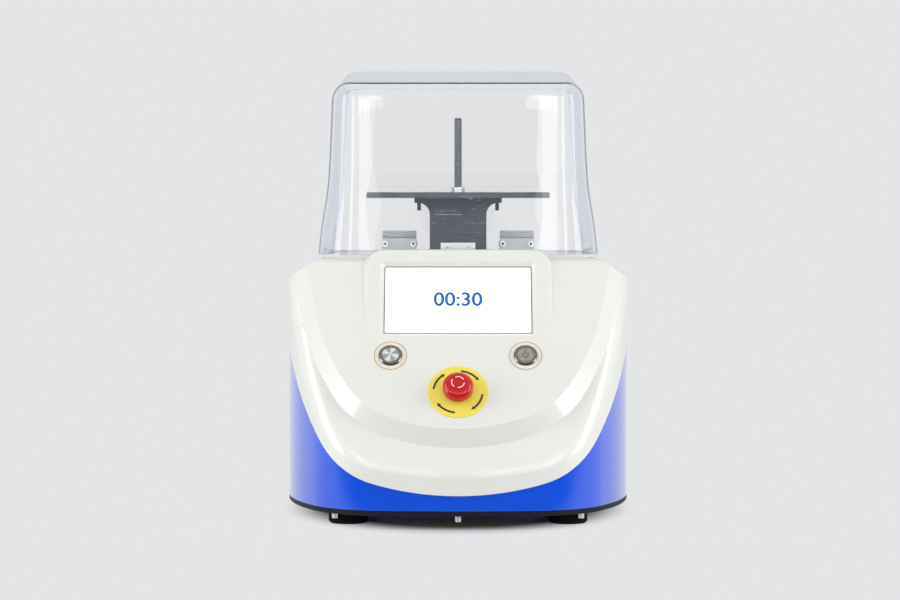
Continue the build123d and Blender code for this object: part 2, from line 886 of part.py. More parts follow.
wiper_low = deck_level + tray_thickness
with BuildPart() as column_wiper:
    extrude(column_outline(wiper_low, column_gap + wiper_flange), amount=wiper_flange_thickness)
    extrude(column_outline(wiper_low, wiper_gap + wiper_wall), amount=wiper_height)
    fillet(column_wiper.edges().filter_by(Axis.Z), wiper_wall / 2)
    extrude(column_outline(wiper_low, wiper_gap), amount=wiper_height, mode=Mode.SUBTRACT)


# Screws through the lid's wall, with their heads inside
hinge_screw_places = [(side * hinge_spacing / 2 + end * lid_screw_spacing / 2, lid_screw_z)
                      for side in (-1, 1) for end in (-1, 1)]
striker_screw_places = [(end * striker_screw_spacing / 2, striker_screw_z) for end in (-1, 1)]
clamp_front_y = dome_rear_y - dome_wall - clamp_thickness - lid_draft
leaf_rear_y = dome_rear_y + leaf_thickness - leaf_root
striker_rear_y = striker_y + striker_thickness + lid_draft
with BuildPart() as lid_holes:
    add(bars_along_y(hinge_screw_places, lid_screw / 2, clamp_front_y, leaf_rear_y))
    add(bars_along_y(striker_screw_places, lid_screw / 2, dome_front_y, striker_rear_y))

with BuildPart() as lid_dome:
    add(outer_dome)
    add(inner_dome, mode=Mode.SUBTRACT)
    add(lid_holes.part, mode=Mode.SUBTRACT)

leaf_low = hinge_z - leaf_drop
with BuildPart() as lid_hinge_leaves:
    for side in (-1, 1):
        x = side * hinge_spacing / 2
        half = hinge_width / 2
        tongue_half = half - knuckle_length - knuckle_gap
        add(block((x - half, dome_rear_y - leaf_thickness, leaf_low),
                  (x + half, leaf_rear_y, leaf_low + leaf_height)))
        add(block((x - tongue_half, leaf_rear_y - leaf_root, leaf_low),
                  (x + tongue_half, hinge_y, hinge_z + knuckle_radius)))
        add(disc_along_x(hinge_y, hinge_z, knuckle_radius, x - tongue_half, x + tongue_half))
    add(outer_dome, mode=Mode.SUBTRACT)
    add(lid_holes.part, mode=Mode.SUBTRACT)
    for side in (-1, 1):
        x = side * hinge_spacing / 2
        add(disc_along_x(hinge_y, hinge_z, hinge_pin / 2 + running_gap, x - half, x + half),
            mode=Mode.SUBTRACT)

with BuildPart() as lid_clamp_plates:
    for side in (-1, 1):
        x = side * hinge_spacing / 2
        add(block((x - half, clamp_front_y, lid_screw_z - clamp_height / 2),
                  (x + half, dome_rear_y, lid_screw_z + clamp_height / 2)))
    add(inner_dome, mode=Mode.INTERSECT)
    add(lid_holes.part, mode=Mode.SUBTRACT)

with BuildPart() as lid_screws:
    add(bars_along_y(hinge_screw_places, lid_screw / 2, clamp_front_y, leaf_rear_y))
    add(bars_along_y(hinge_screw_places, lid_screw_head / 2, clamp_front_y - lid_screw_head_height,
                     clamp_front_y))
    add(bars_along_y(striker_screw_places, lid_screw / 2, dome_front_y + lid_draft, striker_rear_y))
    add(bars_along_y(striker_screw_places, lid_screw_head / 2, striker_rear_y,
                     striker_rear_y + lid_screw_head_height))

with BuildPart() as lid_striker:
    add(block((-striker_width / 2, dome_front_y, striker_low),
              (striker_width / 2, striker_rear_y, striker_low + striker_height)))
    add(inner_dome, mode=Mode.INTERSECT)
    with BuildSketch(Plane.XY.offset(striker_low + striker_lift)):
        with Locations((0, tongue_y)):
            Rectangle(tongue_width, tongue_thickness)
    extrude(amount=-tongue_drop - 2 * striker_lift)
    add(block((-tongue_window / 2, striker_y, bolt_z - tongue_window_height / 2),
              (tongue_window / 2, striker_rear_y, bolt_z + tongue_window_height / 2)), mode=Mode.SUBTRACT)
    add(lid_holes.part, mode=Mode.SUBTRACT)

base_front = hinge_y - knuckle_radius - hinge_base_lead
with BuildPart() as hinge_blocks:
    for side in (-1, 1):
        x = side * hinge_spacing / 2
        add(block((x - half, base_front, deck_level),
                  (x + half, base_front + hinge_base, deck_level + hinge_base_thickness)))
        for end in (-1, 1):
            inner = x + end * (half - knuckle_length)
            outer = x + end * half
            low, high = min(inner, outer), max(inner, outer)
            add(block((low, hinge_y - knuckle_radius, deck_level),
                      (high, hinge_y + knuckle_radius, hinge_z)))
            add(disc_along_x(hinge_y, hinge_z, knuckle_radius, low, high))
    for side in (-1, 1):
        x = side * hinge_spacing / 2
        add(disc_along_x(hinge_y, hinge_z, hinge_pin / 2, x - half, x + half), mode=Mode.SUBTRACT)

with BuildPart() as hinge_pins:
    for side in (-1, 1):
        x = side * hinge_spacing / 2
        add(disc_along_x(hinge_y, hinge_z, hinge_pin / 2, x - half - pin_end, x + half + pin_end))

# Latch under the deck: a slotted body with its solenoid, and a bolt that slides forward
deck_low = deck_level - shell_wall
latch_front_y = tongue_y - latch_depth / 2
latch_rear_y = latch_front_y + latch_depth
bolt_tip_y = tongue_y + tongue_thickness / 2 + bolt_clear
bolt_tail_y = bolt_tip_y + bolt_length
with BuildPart() as latch_body:
    add(block((-latch_width / 2, latch_front_y, deck_low - latch_height),
              (latch_width / 2, latch_rear_y, deck_low)))
    add(block((-solenoid_width / 2, latch_rear_y, deck_low - solenoid_height),
              (solenoid_width / 2, latch_rear_y + solenoid_length, deck_low)))
    extrude(tongue_slot(deck_low), amount=shell_wall - latch_height, mode=Mode.SUBTRACT)
    guide_half, guide_rise = bolt_width / 2 + running_gap, bolt_height / 2 + running_gap
    add(block((-guide_half, bolt_tip_y - bolt_travel, bolt_z - guide_rise),
              (guide_half, bolt_tail_y + bolt_end_gap, bolt_z + guide_rise)), mode=Mode.SUBTRACT)

with BuildPart() as latch_bolt:
    add(block((-bolt_width / 2, bolt_tip_y, bolt_z - bolt_height / 2),
              (bolt_width / 2, bolt_tail_y, bolt_z + bolt_height / 2)))
    chamfer(latch_bolt.faces().sort_by(Axis.Y)[0].edges(), 1)

# Platform: two shallow pockets, a stud between them, on a T-shaped bracket
screw_grid = [(x, chamber_y + y) for x in (-bracket_screw_spacing / 2, bracket_screw_spacing / 2)
              for y in (-bracket_screw_pitch / 2, bracket_screw_pitch / 2)]
pocket_floor = platform_level + platform_thickness - pocket_depth
with BuildPart() as platform:
    with BuildSketch(Plane.XY.offset(platform_level)):
        with Locations((0, chamber_y)):
            RectangleRounded(platform_width, platform_depth, pocket_corner)
    extrude(amount=platform_thickness)
    with BuildSketch(Plane.XY.offset(pocket_floor)):
        with Locations((-pocket_spacing / 2, chamber_y), (pocket_spacing / 2, chamber_y)):
            RectangleRounded(pocket_width, pocket_length, pocket_corner)
    extrude(amount=pocket_depth, mode=Mode.SUBTRACT)
    with Locations(*[(x, y, pocket_floor) for x, y in screw_grid]):
        CounterSinkHole(bracket_screw / 2, bracket_screw_head / 2, platform_thickness, counter_sink_angle=90)
    with Locations((0, chamber_y, platform_level + platform_thickness)):
        Hole(stud / 2, platform_thickness)

shoulder_low = platform_level - bracket_shoulder
with BuildPart() as platform_bracket:
    with BuildSketch(Plane.XZ.offset(-chamber_y)) as outline:
        with BuildLine():
            half_top, half_column = bracket_width / 2, column_width / 2
            Polyline((-half_column, crosshead_top), (half_column, crosshead_top),
                     (half_column, shoulder_low), (half_top, shoulder_low), (half_top, platform_level),
                     (-half_top, platform_level), (-half_top, shoulder_low),
                     (-half_column, shoulder_low), (-half_column, crosshead_top))
        make_face()
        necks = outline.vertices().filter_by(
            lambda corner: abs(abs(corner.X) - column_width / 2) < 0.01 and corner.Y > crosshead_top + 1)
        fillet(necks, bracket_fillet)
    extrude(amount=column_depth / 2, both=True)
    with Locations(*[(x, y, platform_level) for x, y in screw_grid]):
        Hole(bracket_screw / 2, bracket_shoulder + bracket_fillet)
    with Locations((0, chamber_y, platform_level)):
        Hole(stud / 2, stud_grip)

with BuildPart() as bracket_screws:
    with BuildSketch(Plane.XY.offset(pocket_floor)):
        with Locations(*screw_grid):
            Circle(bracket_screw_head / 2)
    extrude(amount=-(bracket_screw_head - bracket_screw) / 2, taper=45)
    with BuildSketch(Plane.XY.offset(shoulder_low - bracket_screw_tail)):
        with Locations(*screw_grid):
            Circle(bracket_screw / 2)
    extrude(amount=pocket_floor - shoulder_low + bracket_screw_tail - screw_root)

platform_top = platform_level + platform_thickness
with BuildPart() as clamp_stud:
    with BuildSketch(Plane.XY.offset(platform_level - stud_grip)):
        with Locations((0, chamber_y)):
            Circle(stud / 2)
    extrude(amount=stud_grip + platform_thickness + stud_height)
    chamfer(clamp_stud.faces().sort_by(Axis.Z)[-1].edges(), stud / 8)

with BuildPart() as stud_nut:
    with BuildSketch(Plane.XY.offset(platform_top)):
        with Locations((0, chamber_y)):
            RegularPolygon(stud_nut_flats / sqrt(3), 6)
            Circle(stud / 2, mode=Mode.SUBTRACT)
    extrude(amount=stud_nut_height)

# Crosshead: carries the bracket, runs on two guide shafts and holds the wrist pin
guide_places = [(-guide_spacing / 2, chamber_y), (guide_spacing / 2, chamber_y)]
rod_half = rod_thickness / 2
with BuildPart() as crosshead:
    add(block((-crosshead_width / 2, chamber_y - column_depth / 2, crosshead_low),
              (crosshead_width / 2, chamber_y + column_depth / 2, crosshead_top)))
    fillet(crosshead.edges().filter_by(Axis.Z), bracket_shoulder)
    add(block((-crosshead_slot / 2, chamber_y - rod_half - rod_gap, crosshead_low),
              (crosshead_slot / 2, chamber_y + rod_half + rod_gap, wrist_z + crosshead_slot_rise)),
        mode=Mode.SUBTRACT)
    with Locations(*[(x, y, crosshead_top) for x, y in guide_places]):
        Hole(bush_diameter / 2, crosshead_height)
    add(disc_along_y(0, wrist_z, wrist_pin_diameter / 2, chamber_y - column_depth / 2,
                     chamber_y + column_depth / 2), mode=Mode.SUBTRACT)

with BuildPart() as guide_bushes:
    with BuildSketch(Plane.XY.offset(crosshead_low)):
        with Locations(*guide_places):
            Circle(bush_diameter / 2)
    extrude(amount=crosshead_height)
    with BuildSketch(Plane.XY.offset(crosshead_top)):
        with Locations(*guide_places):
            Circle(bush_flange / 2)
    extrude(amount=bush_flange_height)
    with Locations(*[(x, y, crosshead_top + bush_flange_height) for x, y in guide_places]):
        Hole(guide_diameter / 2 + running_gap, crosshead_height + bush_flange_height)

with BuildPart() as wrist_pin:
    add(disc_along_y(0, wrist_z, wrist_pin_diameter / 2, chamber_y - column_depth / 2,
                     chamber_y + column_depth / 2))

# Connecting rod with the crank pin, hung from the wrist pin
with BuildPart() as connecting_rod:
    with BuildSketch(Plane.XZ.offset(-chamber_y)):
        with Locations((0, wrist_z)):
            Circle(rod_small_end / 2)
        with Locations((0, crank_pin_z)):
            Circle(rod_big_end / 2)
        with Locations((0, (wrist_z + crank_pin_z) / 2)):
            Rectangle(rod_shank, rod_length)
    extrude(amount=rod_half, both=True)
    add(disc_along_y(0, wrist_z, wrist_pin_diameter / 2 + running_gap, chamber_y - rod_half,
                     chamber_y + rod_half), mode=Mode.SUBTRACT)
    add(disc_along_y(0, crank_pin_z, crank_pin_diameter / 2, chamber_y - rod_half, chamber_y + rod_half),
        mode=Mode.SUBTRACT)
    for face in (-1, 1):
        with BuildSketch(Plane.XZ.offset(-chamber_y - face * rod_half)):
            with Locations((0, (wrist_z + crank_pin_z) / 2)):
                SlotOverall(rod_length - rod_big_end - rod_small_end / 2, rod_shank / 2, rotation=90)
        extrude(amount=face * rod_thickness / 4, mode=Mode.SUBTRACT)

with BuildPart() as crank_pin:
    add(disc_along_y(0, crank_pin_z, crank_pin_diameter / 2, chamber_y - rod_half - crank_pin_reach,
                     disc_front_y - crank_pin_gap))

# Crank disc, shaft and pulley turn together in two bearings
with BuildPart() as crank_disc:
    add(disc_along_y(0, crank_z, crank_disc_diameter / 2, disc_front_y, disc_rear_y))
    chamfer(crank_disc.edges().filter_by(GeomType.CIRCLE), 1)
    with BuildSketch(Plane.XZ.offset(-disc_rear_y)):
        with Locations((0, crank_z)):
            with PolarLocations(crank_hole_circle / 2, 6, start_angle=30):
                Circle(crank_hole / 2)
    extrude(amount=crank_disc_thickness, mode=Mode.SUBTRACT)

with BuildPart() as crankshaft:
    add(disc_along_y(0, crank_z, crankshaft_diameter / 2, disc_rear_y, shaft_end_y))


def pulley(centre_x, radius, bore):
    rim = radius + belt_thickness + pulley_flange / 2
    with BuildPart() as wheel:
        add(disc_along_y(centre_x, crank_z, radius, pulley_y, pulley_y + pulley_width))
        add(disc_along_y(centre_x, crank_z, rim, pulley_y, pulley_y + pulley_flange))
        add(disc_along_y(centre_x, crank_z, rim, pulley_y + pulley_width - pulley_flange,
                         pulley_y + pulley_width))
        add(disc_along_y(centre_x, crank_z, bore, pulley_y, pulley_y + pulley_width), mode=Mode.SUBTRACT)
    return wheel


driven_pulley = pulley(0, driven_pulley_diameter / 2, crankshaft_diameter / 2)
motor_pulley = pulley(-belt_centre, motor_pulley_diameter / 2, motor_shaft_diameter / 2)


def belt_outline(gap):
    with BuildSketch(Plane.XZ.offset(-pulley_y - pulley_width / 2)) as outline:
        with Locations((0, crank_z)):
            Circle(driven_pulley_diameter / 2 + gap)
        with Locations((-belt_centre, crank_z)):
            Circle(motor_pulley_diameter / 2 + gap)
        make_hull()
    return outline.sketch


with BuildPart() as drive_belt:
    extrude(belt_outline(belt_gap + belt_thickness), amount=belt_width / 2, both=True)
    extrude(belt_outline(belt_gap), amount=belt_width / 2, both=True, mode=Mode.SUBTRACT)

with BuildPart() as main_bearings:
    for plate_y in (front_plate_y, rear_plate_y):
        add(disc_along_y(0, crank_z, bearing_diameter / 2, plate_y, plate_y + bearing_width))
    add(disc_along_y(0, crank_z, crankshaft_diameter / 2 + running_gap, front_plate_y,
                     rear_plate_y + bearing_width), mode=Mode.SUBTRACT)

# Drive frame: two bearing plates, guide plate, shelf and base on rubber isolators
with BuildPart() as front_bearing_plate:
    add(block((-plate_half_width, front_plate_y, drive_base_top),
              (plate_half_width, front_plate_y + bearing_width, guide_plate_low)))
    add(disc_along_y(0, crank_z, bearing_diameter / 2, front_plate_y, front_plate_y + bearing_width),
        mode=Mode.SUBTRACT)

motor_radius = motor_diameter / 2
motor_plate_reach = motor_radius + motor_plate_margin
with BuildPart() as rear_bearing_plate:
    add(block((-plate_half_width, rear_plate_y, drive_base_top),
              (plate_half_width, rear_plate_y + bearing_width, guide_plate_low)))
    add(block((-belt_centre - motor_plate_reach, rear_plate_y, drive_base_top),
              (-plate_half_width, rear_plate_y + bearing_width, crank_z + motor_plate_reach)))
    add(disc_along_y(0, crank_z, bearing_diameter / 2, rear_plate_y, rear_plate_y + bearing_width),
        mode=Mode.SUBTRACT)
    add(disc_along_y(-belt_centre, crank_z, motor_pilot / 2, rear_plate_y, rear_plate_y + bearing_width),
        mode=Mode.SUBTRACT)

with BuildPart() as guide_top_plate:
    add(block((-guide_plate_width / 2, chamber_y - column_depth / 2 - motor_plate_margin, guide_plate_low),
              (guide_plate_width / 2, rear_plate_y + bearing_width, guide_plate_top)))
    fillet(guide_top_plate.edges().filter_by(Axis.Z), bracket_shoulder)
    extrude(column_outline(guide_plate_low, column_gap), amount=guide_plate_thickness, mode=Mode.SUBTRACT)
    with Locations(*[(x, y, guide_plate_top) for x, y in guide_places]):
        Hole(guide_diameter / 2, guide_plate_thickness)

with BuildPart() as guide_shelf:
    add(block((-guide_plate_width / 2, front_plate_y - shelf_depth, shelf_level),
              (guide_plate_width / 2, front_plate_y, shelf_level + guide_plate_thickness)))
    add(block((-shelf_slot / 2, chamber_y - rod_half - 5 * rod_gap, shelf_level),
              (shelf_slot / 2, chamber_y + rod_half + 5 * rod_gap, shelf_level + guide_plate_thickness)),
        mode=Mode.SUBTRACT)
    with Locations(*[(x, y, shelf_level + guide_plate_thickness) for x, y in guide_places]):
        Hole(guide_diameter / 2, guide_plate_thickness)

with BuildPart() as guide_shafts:
    with BuildSketch(Plane.XY.offset(shelf_level)):
        with Locations(*guide_places):
            Circle(guide_diameter / 2)
    extrude(amount=guide_plate_top - shelf_level)

base_low_x = drive_side_gap - body_width / 2
base_high_x = supply_x - supply_size[0] / 2 - supply_base_gap
base_front_y = chamber_y - drive_base_front
base_rear_y = chamber_y + drive_base_rear
with BuildPart() as drive_base:
    add(block((base_low_x, base_front_y, drive_base_low), (base_high_x, base_rear_y, drive_base_top)))
    fillet(drive_base.edges().filter_by(Axis.Z), drive_base_thickness)

with BuildPart() as isolators:
    with BuildSketch(Plane.XY.offset(base_top)):
        with Locations(*[(x, y) for x in (base_low_x + isolator_inset, base_high_x - isolator_inset)
                         for y in (base_front_y + isolator_inset, base_rear_y - isolator_inset)]):
            Circle(isolator_diameter / 2)
    extrude(amount=isolator_height)

# Motor on the rear plate, with cooling fins and a terminal box
motor_front_y = rear_plate_y - motor_length
with BuildPart() as motor:
    with BuildSketch(Plane.XZ.offset(-rear_plate_y)):
        with Locations((-belt_centre, crank_z)):
            Circle(motor_radius - motor_fin_height)
            with PolarLocations(motor_radius - motor_fin_height, motor_fins):
                Rectangle(2 * motor_fin_height, motor_fin_height)
    extrude(amount=motor_length - motor_cap_length)
    add(disc_along_y(-belt_centre, crank_z, motor_radius - motor_fin_height / 2, motor_front_y,
                     motor_front_y + motor_cap_length))
    motor_top = crank_z + motor_radius
    add(block((-belt_centre - motor_box / 2, rear_plate_y - 2 * motor_box, motor_top - motor_fin_height),
              (-belt_centre + motor_box / 2, rear_plate_y - motor_box, motor_top + motor_box_height)))
    add(disc_along_y(-belt_centre, crank_z, motor_shaft_diameter / 2 + running_gap,
                     rear_plate_y - motor_shaft_grip, rear_plate_y), mode=Mode.SUBTRACT)

with BuildPart() as motor_shaft:
    add(disc_along_y(-belt_centre, crank_z, motor_shaft_diameter / 2,
                     rear_plate_y - motor_shaft_grip + motor_shaft_gap, shaft_end_y))

# Electrics on the base plate
supply_low = (supply_x - supply_size[0] / 2, supply_y - supply_size[1] / 2, base_top)
with BuildPart() as power_supply:
    add(block(supply_low, [a + b for a, b in zip(supply_low, supply_size)]))
    with BuildSketch(Plane.XY.offset(base_top + supply_size[2])):
        with Locations((supply_x, supply_y)):
            with GridLocations(0, supply_size[1] / 8, 1, 6):
                SlotOverall(supply_size[0] * 0.7, supply_slot)
    extrude(amount=-supply_slot_depth, mode=Mode.SUBTRACT)

with BuildPart() as control_board:
    with BuildSketch(Plane.XY.offset(board_low)):
        with Locations((0, board_y)):
            Rectangle(board_size[0], board_size[1])
    extrude(amount=board_size[2])
    with BuildSketch(Plane.XY.offset(board_top)):
        with Locations((0, board_y + board_size[1] / 3)):
            with GridLocations(board_size[0] / 5, 0, 4, 1):
                Rectangle(board_size[0] / 8, board_size[1] / 10)
    extrude(amount=connector_height)
    with BuildSketch(Plane.XY.offset(board_top)):
        with Locations((board_size[0] / 5, board_y - board_size[1] / 8)):
            Rectangle(board_size[0] / 5, board_size[0] / 5)
    extrude(amount=chip_height)
    with BuildSketch(Plane.XY.offset(board_top)):
        with Locations((-board_size[0] / 4, board_y - board_size[1] / 8)):
            with GridLocations(board_size[0] / 8, board_size[0] / 8, 3, 2):
                Circle(capacitor_radius)
    extrude(amount=capacitor_height)

# Rear panel with the inlet and the fan
panel_rear_y = rear_y - skirt_wall
panel_front_y = panel_rear_y - rear_panel_thickness
inlet_depth = inlet_body[2]
with BuildPart() as rear_panel:
    with BuildSketch(Plane.XZ.offset(-panel_rear_y)):
        with Locations((0, rear_panel_level)):
            RectangleRounded(rear_panel_width, rear_panel_height, rear_panel_overlap)
        with Locations((inlet_x, rear_panel_level)):
            Rectangle(inlet_body[0], inlet_body[1], mode=Mode.SUBTRACT)
        with Locations((fan_x, rear_panel_level)):
            with GridLocations(0, fan_slot_pitch, 1, fan_slot_count):
                SlotOverall(fan_bore * 0.85, fan_slot_pitch * 0.6, mode=Mode.SUBTRACT)
    extrude(amount=rear_panel_thickness)

with BuildPart() as power_inlet:
    with BuildSketch(Plane.XZ.offset(-panel_rear_y - inlet_flange[2])):
        with Locations((inlet_x, rear_panel_level)):
            RectangleRounded(inlet_flange[0], inlet_flange[1], inlet_corner)
    extrude(amount=inlet_flange[2])
    with BuildSketch(Plane.XZ.offset(-panel_rear_y)):
        with Locations((inlet_x, rear_panel_level)):
            Rectangle(inlet_body[0], inlet_body[1])
    extrude(amount=inlet_depth)
    with BuildSketch(Plane.XZ.offset(-panel_rear_y - inlet_flange[2])) as mouth:
        with Locations((inlet_x, rear_panel_level)):
            Rectangle(inlet_mouth[0], inlet_mouth[1])
        chamfer(mouth.vertices().group_by(Axis.Y)[-1], inlet_mouth[1] / 4)
    extrude(amount=inlet_mouth[2], mode=Mode.SUBTRACT)
    with BuildSketch(Plane.XZ.offset(-panel_rear_y - inlet_flange[2] + inlet_mouth[2])):
        with Locations((inlet_x - inlet_pin_pitch, rear_panel_level),
                       (inlet_x + inlet_pin_pitch, rear_panel_level),
                       (inlet_x, rear_panel_level + inlet_pin[1])):
            Rectangle(inlet_pin[0], inlet_pin[1])
    extrude(amount=-inlet_pin[2])

fan_rear_y = panel_front_y
fan_front_y = fan_rear_y - fan_depth
with BuildPart() as fan_frame:
    with BuildSketch(Plane.XZ.offset(-fan_rear_y)):
        with Locations((fan_x, rear_panel_level)):
            RectangleRounded(fan_size, fan_size, fan_corner)
            Circle(fan_bore / 2, mode=Mode.SUBTRACT)
    extrude(amount=fan_depth)
    with BuildSketch(Plane.XZ.offset(-fan_front_y - fan_strut)):
        with Locations((fan_x, rear_panel_level)):
            Circle(fan_hub / 2)
            with PolarLocations(fan_bore / 4, 3, start_angle=30):
                Rectangle(fan_bore / 2 + 1, fan_strut)
    extrude(amount=fan_strut)
    add(disc_along_y(fan_x, rear_panel_level, fan_axle / 2, fan_front_y, fan_rear_y - fan_strut))

with BuildPart() as fan_rotor:
    rotor_front = fan_front_y + fan_strut + fan_clearance
    rotor_rear = fan_rear_y - 2 * fan_clearance
    add(disc_along_y(fan_x, rear_panel_level, fan_hub / 2, rotor_front, rotor_rear))
    blade_root = fan_hub / 2 - 1
    blade_length = fan_bore / 2 - fan_clearance - blade_root
    middle = Pos(fan_x, (rotor_front + rotor_rear) / 2, rear_panel_level)
    for blade in range(fan_blades):
        with Locations(middle * Rot(0, blade * 360 / fan_blades, 0) * Pos(blade_root, 0, 0)
                       * Rot(fan_blade_pitch, 0, 0)):
            Box(blade_length, fan_blade_chord, fan_blade_thickness,
                align=(Align.MIN, Align.CENTER, Align.CENTER))
    add(disc_along_y(fan_x, rear_panel_level, fan_axle / 2 + running_gap, rotor_front, rotor_rear),
        mode=Mode.SUBTRACT)

pieces = {
    "base_plate": base_plate,
    "feet": feet,
    "base_screws": base_screws,
    "lower_shell": lower_shell,
    "upper_shell": upper_shell,
    "touch_screen": touch_screen,
    "screen_gasket": screen_gasket,
    "button_rings": button_rings,
    "button_bezels": button_bezels,
    "button_nuts": button_nuts,
    "unlock_cap": unlock_cap,
    "power_cap": power_cap,
    "estop_plate": estop_plate,
    "estop_collar": estop_collar,
    "estop_contacts": estop_contacts,
    "estop_stem": estop_stem,
    "estop_head": estop_head,
    "lid_seal": lid_seal,
    "chamber_tray": chamber_tray,
    "column_wiper": column_wiper,
    "lid_dome": lid_dome,
    "lid_hinge_leaves": lid_hinge_leaves,
    "lid_clamp_plates": lid_clamp_plates,
    "lid_screws": lid_screws,
    "lid_striker": lid_striker,
    "hinge_blocks": hinge_blocks,
    "hinge_pins": hinge_pins,
    "latch_body": latch_body,
    "latch_bolt": latch_bolt,
    "platform": platform,
    "platform_bracket": platform_bracket,
    "bracket_screws": bracket_screws,
    "clamp_stud": clamp_stud,
    "stud_nut": stud_nut,
    "crosshead": crosshead,
    "guide_bushes": guide_bushes,
    "wrist_pin": wrist_pin,
    "connecting_rod": connecting_rod,
    "crank_pin": crank_pin,
    "crank_disc": crank_disc,
    "crankshaft": crankshaft,
    "driven_pulley": driven_pulley,
    "motor_pulley": motor_pulley,
    "drive_belt": drive_belt,
    "main_bearings": main_bearings,
    "front_bearing_plate": front_bearing_plate,
    "rear_bearing_plate": rear_bearing_plate,
    "guide_top_plate": guide_top_plate,
    "guide_shelf": guide_shelf,
    "guide_shafts": guide_shafts,
    "drive_base": drive_base,
    "isolators": isolators,
    "motor": motor,
    "motor_shaft": motor_shaft,
    "power_supply": power_supply,
    "control_board": control_board,
    "rear_panel": rear_panel,
    "power_inlet": power_inlet,
    "fan_frame": fan_frame,
    "fan_rotor": fan_rotor,
}
for name, piece in pieces.items():
    piece.part.label = name
    export_step(piece.part, f"parts/{name}.step")
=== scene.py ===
import json

import bmesh
import bpy
from math import cos, pi, radians, sin
from mathutils import Matrix, Quaternion, Vector


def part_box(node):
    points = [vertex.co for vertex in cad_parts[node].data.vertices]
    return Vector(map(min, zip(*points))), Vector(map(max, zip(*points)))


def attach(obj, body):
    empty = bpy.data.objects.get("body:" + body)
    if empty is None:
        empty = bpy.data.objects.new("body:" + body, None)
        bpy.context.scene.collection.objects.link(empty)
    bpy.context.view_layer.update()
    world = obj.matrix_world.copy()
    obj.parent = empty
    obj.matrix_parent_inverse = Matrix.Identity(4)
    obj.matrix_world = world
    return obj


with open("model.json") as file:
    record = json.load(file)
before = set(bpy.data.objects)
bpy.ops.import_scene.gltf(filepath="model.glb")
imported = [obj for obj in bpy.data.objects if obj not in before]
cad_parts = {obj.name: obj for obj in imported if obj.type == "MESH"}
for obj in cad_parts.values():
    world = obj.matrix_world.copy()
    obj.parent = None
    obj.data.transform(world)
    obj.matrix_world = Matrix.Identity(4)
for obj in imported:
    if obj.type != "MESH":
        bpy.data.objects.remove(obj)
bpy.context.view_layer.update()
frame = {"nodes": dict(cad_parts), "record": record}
nodes = frame["nodes"]
record = frame["record"]
bodyOf = {node: body for body, members in record["behaviour"]["bodies"].items() for node in members}
slotOf = {entry["node"]: entry["material_slot"] for entry in record["subparts"]}

scene = bpy.context.scene
scene.view_settings.view_transform = "Standard"
print("stage 1: frame loaded,", len(nodes), "nodes")


def paint(red, green, blue):
    # a colour as a screen shows it, 0 to 255, turned into the shader's linear values
    def linear(value):
        value /= 255
        return value / 12.92 if value <= 0.04045 else ((value + 0.055) / 1.055) ** 2.4
    return (linear(red), linear(green), linear(blue), 1)


# Camera: in front of the panel, a little above the platform
cameraSettings = {"place": (0, -3.0, 0.338), "lens": 108.56, "pitchDown": 2.11, "yawLeft": 0.17}
cameraData = bpy.data.cameras.new("photoCamera")
cameraData.lens = cameraSettings["lens"]
cameraData.sensor_width = 36
cameraData.clip_end = 60
camera = bpy.data.objects.new("photoCamera", cameraData)
camera.location = cameraSettings["place"]
camera.rotation_euler = (radians(90 - cameraSettings["pitchDown"]), 0, radians(cameraSettings["yawLeft"]))
scene.collection.objects.link(camera)
scene.camera = camera

# Light: soft boxes all round over a pale even surround. Those marked mirrorOnly light nothing and are seen
# as reflections, those with mirrored off are the reverse, and inGlass off hides one from the dome
lightSettings = {
    "top": {"place": (0, 0.1, 2.3), "aim": (0, 0, 0.2), "size": (2.4, 1.6), "power": 8},
    "left": {"place": (-1.3, -0.6, 0.6), "aim": (0, 0, 0.25), "size": (0.5, 1.4), "power": 12.2,
             "inGlass": False},
    "right": {"place": (1.3, -0.6, 0.6), "aim": (0, 0, 0.25), "size": (0.5, 1.4), "power": 12.2,
              "inGlass": False},
    "leftFront": {"place": (-0.76, -2.4, 1.0), "aim": (0, 0, 0.3), "size": (1.25, 1.5), "power": 6.4,
                  "roll": 3},
    "rightFront": {"place": (0.76, -2.4, 1.0), "aim": (0, 0, 0.3), "size": (1.25, 1.5), "power": 8.2,
                   "roll": -3},
    "rear": {"place": (0, 2.3, 1.3), "aim": (0, 0, 0.25), "size": (1.6, 1.0), "power": 8, "mirrored": False},
    "low": {"place": (0, -2.4, 0.1), "aim": (0, 0, 0.1), "size": (2.4, 0.18), "power": 6, "mirrored": False},
    "leftShine": {"place": (-0.27, -2.4, 1.0), "aim": (0, 0, 0.3), "size": (0.18, 1.5), "power": 1.4,
                  "roll": 3, "mirrorOnly": True},
    "rightShine": {"place": (0.255, -2.4, 1.0), "aim": (0, 0, 0.3), "size": (0.18, 1.5), "power": 1.6,
                   "roll": -3, "mirrorOnly": True},
    "leftWing": {"place": (-1.25, -2.1, 1.0), "aim": (0, 0, 0.3), "size": (0.4, 1.5), "power": 5.5,
                 "roll": 3, "mirrorOnly": True},
    "rightWing": {"place": (1.25, -2.1, 1.0), "aim": (0, 0, 0.3), "size": (0.4, 1.5), "power": 5.5,
                  "roll": -3, "mirrorOnly": True},
}
for name, light in lightSettings.items():
    lamp = bpy.data.lights.new(name + "Box", "AREA")
    lamp.shape = "RECTANGLE"
    lamp.size, lamp.size_y = light["size"]
    lamp.energy = light["power"]
    box = bpy.data.objects.new(name + "Box", lamp)
    box.location = light["place"]
    aim = Vector(light["aim"]) - Vector(light["place"])
    turn = Quaternion((0, 0, 1), radians(light.get("roll", 0)))
    box.rotation_euler = (aim.to_track_quat("-Z", "Y") @ turn).to_euler()
    box.visible_diffuse = not light.get("mirrorOnly", False)
    box.visible_glossy = light.get("mirrored", True)
    box.visible_transmission = light.get("mirrored", True) and light.get("inGlass", True)
    scene.collection.objects.link(box)

